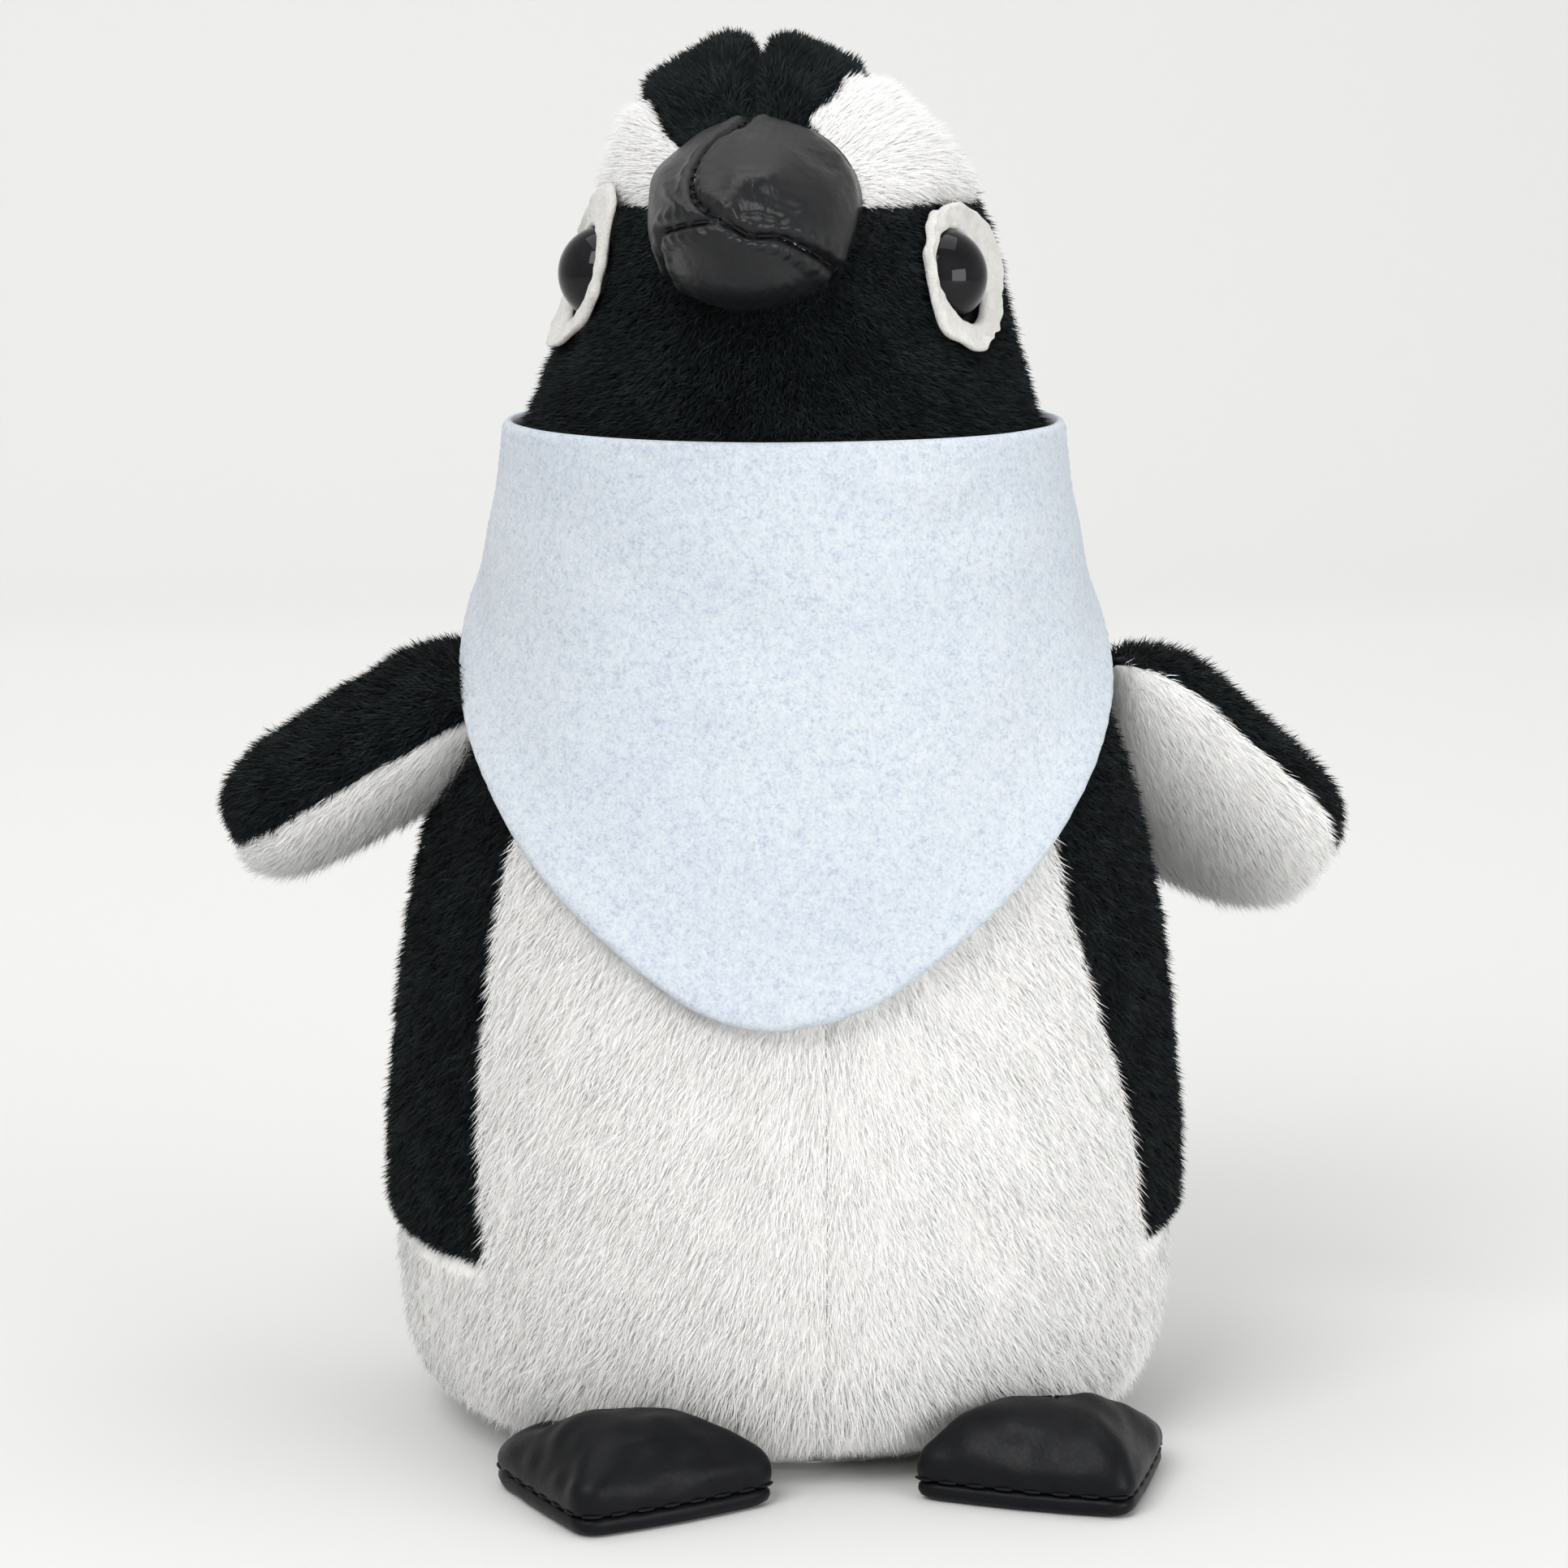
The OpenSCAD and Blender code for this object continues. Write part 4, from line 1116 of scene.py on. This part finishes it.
def gouge(x, h, line, width):
    """A bell over the distance from a broken line, for a crease."""
    line = np.array(line, float)
    p = np.stack([x, h], -1)[..., None, :]
    a, b = line[:-1], line[1:]
    t = np.clip(((p - a) * (b - a)).sum(-1) / ((b - a) ** 2).sum(-1), 0, 1)
    d = np.linalg.norm(p - (a + (b - a) * t[..., None]), axis=-1).min(-1)
    return np.exp(-((d / width) ** 2))


def beak(r, a):
    """The beak's leather: a is the angle round its base and r runs from its tip to its base.
    It stands out from the face as a blunt dome, nearly flat at the tip and steep at the
    base, and bends to one side."""
    rad = np.radians(a)
    r = np.clip(r, 0.001, 1)
    x, h = BEAK_R * r * np.cos(rad), BEAK_H + BEAK_HR * r * np.sin(rad)
    stand = BEAK_OUT * (1 - r ** 2.3) ** 0.58
    p = np.stack([x - 1.2 * (1 - r * r), face_y(x, h) + 0.5 - stand, NECK + h], -1)
    return turned(p)


# Angle of each seam of the beak, by the share of the way from its tip to its base
mouth_left = curve([0, 0.25, 0.5, 0.75, 1], [-22, -32, -20, -26, -37])
mouth_right = curve([0, 0.25, 0.5, 0.64, 0.8, 1], [-172, -171, -169, -167, -152, -128])
top_seam = curve([0, 0.3, 0.6, 0.85, 1], [152, 146, 127, 102, 92])
BEAK_RS = 0.012 + 0.988 * np.linspace(0, 1, 100) ** 0.9
BEAK_STEP = (0.012, 1.0)
BEAK_MEAN_R = 10.3
# Creases and humps of the leather: height, line over the face, and width
FOLDS = {
    "beak_upper_left": [(0.75, [(-0.6, 28.9), (0.4, 31.0), (2.6, 31.2)], 1.3),
                        (-0.45, [(0.8, 28.3), (2.4, 28.6), (4.4, 27.6)], 0.6),
                        (-0.3, [(2.6, 29.9), (4.2, 29.2), (5.6, 28.6)], 0.5),
                        (-0.3, [(-1.5, 36.2), (3.5, 35.4), (8.0, 32.2)], 0.7)],
    "beak_upper_right": [],
    "beak_lower": [(-0.5, [(-6, 23.6), (0, 22.8), (5, 23.4)], 2.0)],
}


def seam_groove(r):
    """Share of the way from the shallow seams at the tip to the deep ones at the base."""
    return smoothstep(r, 0.25, 0.6)


def beak_panel(name, start, end, cells_across):
    """A leather panel of the beak between two seams. It puffs and puckers beside them,
    sinks into them, has its own folds and fine lines, and turns in at the base."""
    s = graded(cells_across)[:, None]
    a0, a1 = start(BEAK_RS)[None] + 0.2, end(BEAK_RS)[None] - 0.2
    a = a0 + (a1 - a0) * s
    r = np.repeat(BEAK_RS[None], len(s), 0)
    p = beak(r, a)
    n = normals(beak, r, a, BEAK_STEP)
    d = np.minimum(a - a0, a1 - a) * np.pi / 180 * r * BEAK_MEAN_R
    depth = 0.42 + 0.25 * seam_groove(r)
    pucker = 1 + 0.22 * np.sin(r * 62) + 0.15 * wave(p, 1.3, 8)
    puff = 0.3 * np.exp(-(((d - 1.2) / 0.8) ** 2)) * pucker
    puff = (puff - depth * np.exp(-((d / 0.45) ** 2))) * smoothstep(r, 0.0, 0.08)
    puff += 0.08 * wave(p, 7, 3) + 0.015 * wave(p, 2.2, 5)
    q = own(p)
    x, h = q[..., 0], q[..., 2]
    for height, line, width in FOLDS[name]:
        puff += height * gouge(x, h, line, width)
    fine_lines = wave(p * [0.5, 0.5, 1.0] + p[..., :1] * 0.6, 0.7, 15)
    if name == "beak_upper_left":
        band = smoothstep(r, 0.7, 0.86) * (1 - smoothstep(r, 0.95, 1)) * smoothstep(a, 15, 35)
        tip = gouge(x, h, [(0.6, 30.4), (3.2, 29.8)], 1.6)
        puff += (0.06 * band + 0.07 * tip) * fine_lines
    elif name == "beak_upper_right":
        puff += 0.55 * np.exp(-(((s - 0.48) / 0.1) ** 2)) * smoothstep(r, 0.25, 0.5)
    else:
        puff += 0.03 * fine_lines * smoothstep(r, 0.45, 0.7)
    turned_in = 0.9 * smoothstep(r, 0.93, 1.0) ** 2
    o = wall_piece(name + "_leather", p + n * (puff - turned_in)[..., None], p - n * 0.9,
                   leather)
    finish_piece(o, name, "head")


def beak_stitches(name, seam, length, gap, across=False, lift=0.0):
    """Stitches down in a seam's groove, from near the tip to the base."""
    r = np.linspace(0.1, 0.985, 120)
    a = seam(r)
    n = normals(beak, r, a, BEAK_STEP)
    path = beak(r, a) - n * (0.32 + 0.22 * seam_groove(r))[:, None]
    o = dashes(f"beak_stitches_{name}", path, n, length, gap, 0.16, thread, across, lift)
    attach(o, "head")


beak_panel("beak_upper_left", mouth_left, top_seam, 84)
beak_panel("beak_upper_right", top_seam, lambda r: 360 + mouth_right(r), 64)
beak_panel("beak_lower", mouth_right, mouth_left, 100)
beak_stitches("top", top_seam, 1.3, 1.5, across=True, lift=0.05)
beak_stitches("mouth_left", mouth_left, 2.2, 0.5)
beak_stitches("mouth_right", mouth_right, 2.2, 0.5)

# ---- Eyes --------------------------------------------------------------------------


def face_x(y, h):
    """Half width of the head at depth y and height h over the neck, in its own frame."""
    t = along(h)
    depth = np.where(y < 0, head_front(t), head_back(t))
    inside = np.clip(1 - (np.abs(y) / depth) ** HEAD_POWER, 0, 1)
    sideways = inside ** (1 / HEAD_POWER)
    return head_side(t) * sideways - eye_dent(sideways, y, h)


# Radius of the felt's hole and of the dome, the dome's height, the felt's thickness and how
# far its middle stands off the fabric
HOLE, DOME_R, DOME_H = 4.75, 4.75, 3.9
FELT_THICK, FELT_OFF = 0.96, 1.15


def felt_at(a, s, out, sign):
    """Felt round an eye: angle a from its front edge upwards, s from its rim to its hole.
    Its cut edge wanders a little."""
    patch = PATCH_LEFT(a) if sign > 0 else PATCH_RIGHT(a)
    c, w = np.cos(np.radians(a)), np.sin(np.radians(a))
    patch = patch + 0.28 * wave(np.stack([9 * c, 9 * w, 0 * a], -1), 3.4, 5 + sign)
    r = patch + (HOLE - patch) * s
    y, h = EYE_Y - r * c, EYE_H + r * w
    curl = 0.5 * smoothstep(1 - s, 0.5, 1)
    x = face_x(y, h) + out + curl * (0.5 + 0.5 * np.sin(np.radians(3 * a + 40)))
    return turned(np.stack([sign * x, y, NECK + h], -1))


def felt_patch(name, sign):
    """The felt ring round an eye, with rounded edges and a slightly uneven face."""
    a, s = np.meshgrid(np.linspace(360, 0, 121)[:-1], np.linspace(0, 1, 16))
    d = np.minimum(s, 1 - s) * 2.8
    half = FELT_THICK / 2 * np.sqrt(np.clip(1 - (1 - np.minimum(1, d / 0.3)) ** 2, 0.2, 1))
    rough = 0.1 * wave(felt_at(a, s, 0, sign), 1.5, 14)
    outer = felt_at(a, s, FELT_OFF + half + rough, sign)
    inner = felt_at(a, s, FELT_OFF - half, sign)
    o = wall_piece(f"felt_patch_{name}", outer, inner, felt, None, True)
    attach(finish_piece(o, f"eye_patch_{name}"), "head")


def eye_dome(name, sign):
    """A safety eye: a profile turned about its axis. It has a stem, a flange, a thin rim
    and a dome that is a cap of a sphere."""
    sphere = (DOME_R ** 2 + DOME_H ** 2) / (2 * DOME_H)
    cap = np.linspace(0.02, math.asin(DOME_R / sphere), 26)[::-1]
    profile = [(0.03, -9.0), (1.4, -9.0), (1.5, -8.8), (1.5, -0.7), (4.4, -0.7),
               (4.7, -0.45), (4.83, -0.15)]
    profile += [(sphere * math.sin(c), DOME_H - sphere * (1 - math.cos(c))) for c in cap]
    profile = np.array(profile)
    around = np.radians(np.linspace(0, 360, 65)[:-1])
    ring = np.stack([profile[:, :1] * np.cos(around), profile[:, :1] * np.sin(around),
                     profile[:, 1:] + 0 * around], -1)
    spin = rotation("z", -24) @ rotation("y", 90)
    x = float(face_x(np.array(EYE_Y), np.array(EYE_H))) + 0.3
    p = ring @ spin.T + [x, EYE_Y, NECK + EYE_H]
    p[..., 0] *= sign
    o = skin_piece(f"eye_dome_{name}", turned(p), eye_gloss)
    finish_piece(o, f"eye_{name}", "head")


for name, sign in (("left", 1), ("right", -1)):
    felt_patch(name, sign)
    eye_dome(name, sign)

# ---- Bib ---------------------------------------------------------------------------

# Height of the bib's top edge, turn of its two ends, and its thickness
BIB_TOP, BIB_END, BIB_THICK = 104, 198, 1.2
BIB_STEP = (0.4, 0.006)


def bib_mid(turn, s):
    """Middle of the bib's cloth: s runs from its lower edge to its top edge. One end
    passes over the other at the nape, the lower edge stands off a little, and soft waves
    give it dents."""
    low = bib_low(turn)
    z = low + (BIB_TOP - low) * s
    over = 2.9 * smoothstep(turn, 138, 157)
    down = (1 - s) * (BIB_TOP - low)
    edge_off = 0.9 * np.exp(-((s * (BIB_TOP - low) / 4) ** 2))
    out = 1.05 + over + 0.9 * smoothstep(z, 82, 100) + edge_off
    base = body(turn, z)
    front = smoothstep(np.cos(np.radians(turn)), 0.2, 0.8)
    dents = 0.45 * wave(base, 26, 8) + 0.3 * wave(base, 15, 9)
    hollow = gouge(base[..., 0], z, [(3, 97), (9, 95), (15, 96.5)], 3.2)
    hollow += 0.7 * gouge(base[..., 0], z, [(-8, 86), (-14, 84)], 4.0)
    out = out + front * np.exp(-down / 60) * (dents - 0.7 * hollow + 0.35)
    flat = np.stack([base[..., 0], base[..., 1], 0 * z], -1)
    return base + unit(flat) * out[..., None]


def bib_cloth():
    """The bib: one cloth wrapped round the neck, with rounded edges and a soft nap."""
    beside = 98 * graded(40)
    turns = np.concatenate([beside - BIB_END, np.linspace(-100, 100, 202)[1:-1],
                            100 + beside])
    gu, gv = np.meshgrid(turns, graded(96))
    p = bib_mid(gu, gv)
    n = normals(bib_mid, gu, gv, BIB_STEP)
    height = BIB_TOP - bib_low(gu)
    d = np.minimum(np.minimum(gv, 1 - gv) * height * 0.8, (BIB_END - np.abs(gu)) * 0.5)
    half = BIB_THICK / 2 * np.sqrt(np.clip(1 - (1 - np.minimum(1, d / 0.7)) ** 2, 0.05, 1))
    nap = 0.05 * wave(p, 1.3, 17) + 0.04 * wave(p, 0.8, 18)
    o = wall_piece("bib", p + n * (half + nap)[..., None], p - n * half[..., None], fleece)
    finish_piece(o, ("bib_collar", "bib_flap"))
    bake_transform(o)
    return o


def fastener(name, mat, middle, half_turn=15):
    """A strip of the bib's hook-and-loop closing at the nape, with rounded edges."""
    gu, gv = np.meshgrid(180 + half_turn * np.linspace(-1, 1, 30), np.linspace(0, 1, 20))
    z = 91 + 9 * gv
    out = middle + 0.06 * wave(np.stack([gu, gu, z], -1), 1.2, 19)
    p = body(gu, z)
    way = unit(p * [1, 1, 0])
    d = np.minimum((half_turn - np.abs(gu - 180)) * 0.47, np.minimum(gv, 1 - gv) * 9)
    half = 0.32 * np.sqrt(np.clip(1 - (1 - np.minimum(1, d / 0.4)) ** 2, 0.1, 1))
    o = wall_piece(f"bib_{name}_fastener", p + way * (out + half)[..., None],
                   p + way * (out - half)[..., None], mat)
    return finish_piece(o, f"bib_{name}_strip", "torso")


bib = bib_cloth()
strips = [fastener("loop", loop_cloth, 2.35), fastener("hook", hook_cloth, 3.05)]

# ---- Feet --------------------------------------------------------------------------

# Corners of the foot's plan, each with how far back from it its rounding starts
CORNERS = [((33.4, -27.2), 2.5), ((30.4, -36.2), 12), ((26.6, -46), 2.5), ((17.2, -42.4), 12),
           ((7.4, -37), 2.5), ((9.2, -34.6), 1.5), ((19.5, -29.8), 6), ((31, -23.2), 2)]
# The foot's crown in plan, heights of its seam and its crown, how far both feet sit to the
# toy's left, and cells round the outline
CROWN = np.array([21, -35.4])
SOLE, FOOT_H = 2.1, 9.9
FOOT_SHIFT = 1.5
AROUND = 180


def foot_outline():
    """The foot's plan: straight sides between corners, each corner an arc-like curve that
    is the quadratic through its two ends and its point, spaced evenly along its length."""
    t = np.linspace(0, 1, 14)[:, None]
    parts = []
    for i, (p, size) in enumerate(CORNERS):
        p = np.array(p)
        before = np.array(CORNERS[i - 1][0])
        after = np.array(CORNERS[(i + 1) % len(CORNERS)][0])
        a = p + (before - p) * min(0.45, size / np.linalg.norm(before - p))
        b = p + (after - p) * min(0.45, size / np.linalg.norm(after - p))
        parts.append((1 - t) ** 2 * a + 2 * t * (1 - t) * p + t * t * b)
    loop = np.concatenate(parts)
    loop = np.concatenate([loop, loop[:1]])
    s = np.concatenate([[0], np.cumsum(np.linalg.norm(np.diff(loop, axis=0), axis=1))])
    even = np.linspace(0, s[-1], AROUND + 1)[:-1]
    out = np.stack([np.interp(even, s, loop[:, 0]), np.interp(even, s, loop[:, 1])], -1)
    out = CROWN + (out - CROWN) * 1.05
    area = (out[:, 0] * np.roll(out[:, 1], -1) - out[:, 1] * np.roll(out[:, 0], -1)).sum()
    out = out if area > 0 else out[::-1]
    return np.concatenate([out, out[:1]])


outline = foot_outline()


def foot_surface(u, v):
    """The foot's upper: u goes once round its outline and v from the seam to the crown. Its
    rings turn from the outline into ovals, and it is lower at the rear."""
    r = np.clip(1 - v, 0, 1)
    share = np.linspace(0, 1, AROUND + 1)
    x, y = np.interp(u % 1, share, outline[:, 0]), np.interp(u % 1, share, outline[:, 1])
    way = np.arctan2(y - CROWN[1], x - CROWN[0])
    round_off = 1 - smoothstep(r, 0.35, 1)
    x = x + (CROWN[0] + 11.5 * np.cos(way) - x) * round_off
    y = y + (CROWN[1] + 9.8 * np.sin(way) - y) * round_off
    z = SOLE + 0.1 + (FOOT_H - SOLE - 0.1) * (1 - r ** 2.8) ** 0.55
    z = z - 0.3 * (z - SOLE - 0.1) * smoothstep(y, -34, -26)
    return np.stack([CROWN[0] + (x - CROWN[0]) * r, CROWN[1] + (y - CROWN[1]) * r, z], -1)


def to_side(points, sign):
    """Points of the left foot moved to the foot that sign gives, in place."""
    points[..., 0] = sign * points[..., 0] + FOOT_SHIFT


def foot_upper(name, sign):
    """The upper: puffed over its seam, softly folded, with two webs between its toes."""
    v = 1 - np.clip(1 - np.linspace(0, 1, 40) ** 1.9, 0.012, 1)
    gu, gv = np.meshgrid(np.arange(AROUND) / AROUND, v)
    p = foot_surface(gu, gv)
    n = normals(foot_surface, gu, gv + 0.004, (0.004, 0.004))
    rise = p[..., 2] - SOLE
    fold = 0.3 * wave(p, 11, 23 + sign) + 0.1 * wave(p, 4, 24 + sign)
    web = gouge(p[..., 0], p[..., 1], [(27, -33), (30.4, -37.5)], 2.2)
    web = web + gouge(p[..., 0], p[..., 1], [(20.5, -37), (16.5, -43.5)], 2.4)
    off = 0.35 * np.exp(-(((rise - 2.2) / 1.8) ** 2)) - 0.2 * np.exp(-((rise / 0.5) ** 2))
    off = off + fold * smoothstep(rise, 0.5, 3) - 0.15 * web * smoothstep(rise, 0.3, 3)
    outer, inner = p + n * off[..., None], p - n * 0.85
    to_side(outer, sign)
    to_side(inner, sign)
    o = wall_piece(f"foot_{name}_upper_leather", outer, inner, foot_leather, None, True)
    finish_piece(o, f"foot_{name}_upper", f"foot_{name}")


def foot_sole(name, sign):
    """The padded sole: the outline shrunk and raised ring by ring, with a soft edge."""
    profile = [(0.02, 0.05), (0.5, 0.05), (0.86, 0.05), (0.93, 0.22), (0.98, 0.6), (1.0, 1.1),
               (0.995, 1.55), (0.97, 1.9), (0.9, 2.0), (0.4, 2.0), (0.02, 2.0)]
    u = np.arange(AROUND) / AROUND
    loop = foot_surface(u, 0 * u)[:, :2]
    grid = np.stack([np.concatenate([CROWN + (loop - CROWN) * k, np.full((AROUND, 1), z)], 1)
                     for k, z in profile])
    grid[..., 2] += 0.12 * wave(grid, 5, 29) * (np.abs(grid[..., 2] - 1.1) < 0.6)
    to_side(grid, sign)
    o = skin_piece(f"foot_{name}_sole_leather", grid, foot_leather)
    finish_piece(o, f"foot_{name}_sole", f"foot_{name}")


def foot_stitches(name, sign):
    """Stitches along the seam between the upper and the sole."""
    ring = np.arange(AROUND + 1) / AROUND
    path = foot_surface(ring, 0 * ring)
    away = unit((path - [*CROWN, 0]) * [1, 1, 0])
    path = path - away * 0.1
    path[:, 2] = SOLE + 0.15
    to_side(path, sign)
    away[:, 0] *= sign
    o = dashes(f"foot_{name}_stitches", path, away, 2.1, 0.8, 0.15, thread, False, 0.05)
    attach(o, f"foot_{name}")


for name, sign in (("left", 1), ("right", -1)):
    foot_upper(name, sign)
    foot_sole(name, sign)
    foot_stitches(name, sign)

# ---- Pieces inside, from the CAD ------------------------------------------------------

INSIDE = {"pellet_bag": bag_cloth, "pellets": pellet, "eye_washer_left": washer,
          "eye_washer_right": washer}
for node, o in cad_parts.items():
    if not o.hide_render:
        o.data.materials.clear()
        o.data.materials.append(INSIDE.get(node, stuffing))

# ---- Floor, light and camera ------------------------------------------------------------


def painted_shade_floor_material():
    """Pale matt paper with painted shade: its colour is darkest at the front and rises softly to
    the back.
    """
    mat, tree, p = principled("floor", (0.8, 0.8, 0.79), 0.85)
    split = tree.nodes.new("ShaderNodeSeparateXYZ")
    tree.links.new(place(tree, (1, 1.6, 1)), split.inputs["Vector"])
    # painted shade: the floor's colour is darker in front of and under the toy and lighter
    # behind it
    tone = ramp(tree, split.outputs["Y"], [(0.0, (0.69, 0.69, 0.68)), (1.0, (0.93, 0.93, 0.92))])
    tree.links.new(tone, p.inputs["Base Color"])
    return mat


def paper_sweep():
    """The floor: a flat stretch, a quarter circle up at its far end, and a wall."""
    back = np.radians(np.linspace(0, 90, 20))
    arc = np.stack([700 + 500 * np.sin(back), 500 - 500 * np.cos(back)], -1)
    line = np.concatenate([[[-1500, 0]], arc, [[1200, 2200]]])
    x = np.array([-2500, 2500])
    grid = np.stack([np.stack([x, 0 * x + y, 0 * x + z], -1) for y, z in line])
    index = np.arange(grid.shape[0] * 2).reshape(-1, 2)
    quads = np.stack([index[:-1, 0], index[:-1, 1], index[1:, 1], index[1:, 0]], -1)
    return mesh_of("floor", grid.reshape(-1, 3), quads, painted_shade_floor_material())


def area_light(name, spot, aim, size, power):
    """A soft rectangular light at a spot, aimed at a point."""
    data = bpy.data.lights.new(name, "AREA")
    data.shape = "RECTANGLE"
    data.size, data.size_y = size[0] * MM, size[1] * MM
    data.energy = power
    o = bpy.data.objects.new(name, data)
    bpy.context.scene.collection.objects.link(o)
    o.location = np.array(spot) * MM
    way = unit(np.array(aim, float) - np.array(spot, float))
    o.rotation_euler = mathutils.Vector(way).to_track_quat("-Z", "Y").to_euler()


paper_sweep()
area_light("key", (-420, -620, 720), (0, 0, 60), (500, 500), 5.6)
area_light("fill", (520, -620, 90), (0, 0, 60), (500, 500), 4.6)
area_light("top", (0, 60, 900), (0, 0, 0), (900, 700), 3.4)
world = bpy.data.worlds.new("studio")
bpy.context.scene.world = world
world.use_nodes = True
sky = world.node_tree.nodes["Background"]
sky.inputs["Color"].default_value = (1, 1, 1, 1)
sky.inputs["Strength"].default_value = 0.55

azimuth, elevation, distance, target = math.radians(-7), math.radians(9), 520, (0, 0, 66)
camera_data = bpy.data.cameras.new("camera")
camera_data.sensor_width = 36
camera_data.lens = 115.1
camera = bpy.data.objects.new("camera", camera_data)
bpy.context.scene.collection.objects.link(camera)
spot = np.array(target) + distance * np.array([
    math.sin(azimuth) * math.cos(elevation), -math.cos(azimuth) * math.cos(elevation),
    math.sin(elevation)])
camera.location = spot * MM
camera.rotation_euler = (math.radians(90) - elevation, 0, azimuth)
bpy.context.scene.camera = camera
bpy.context.scene.view_settings.view_transform = "Standard"
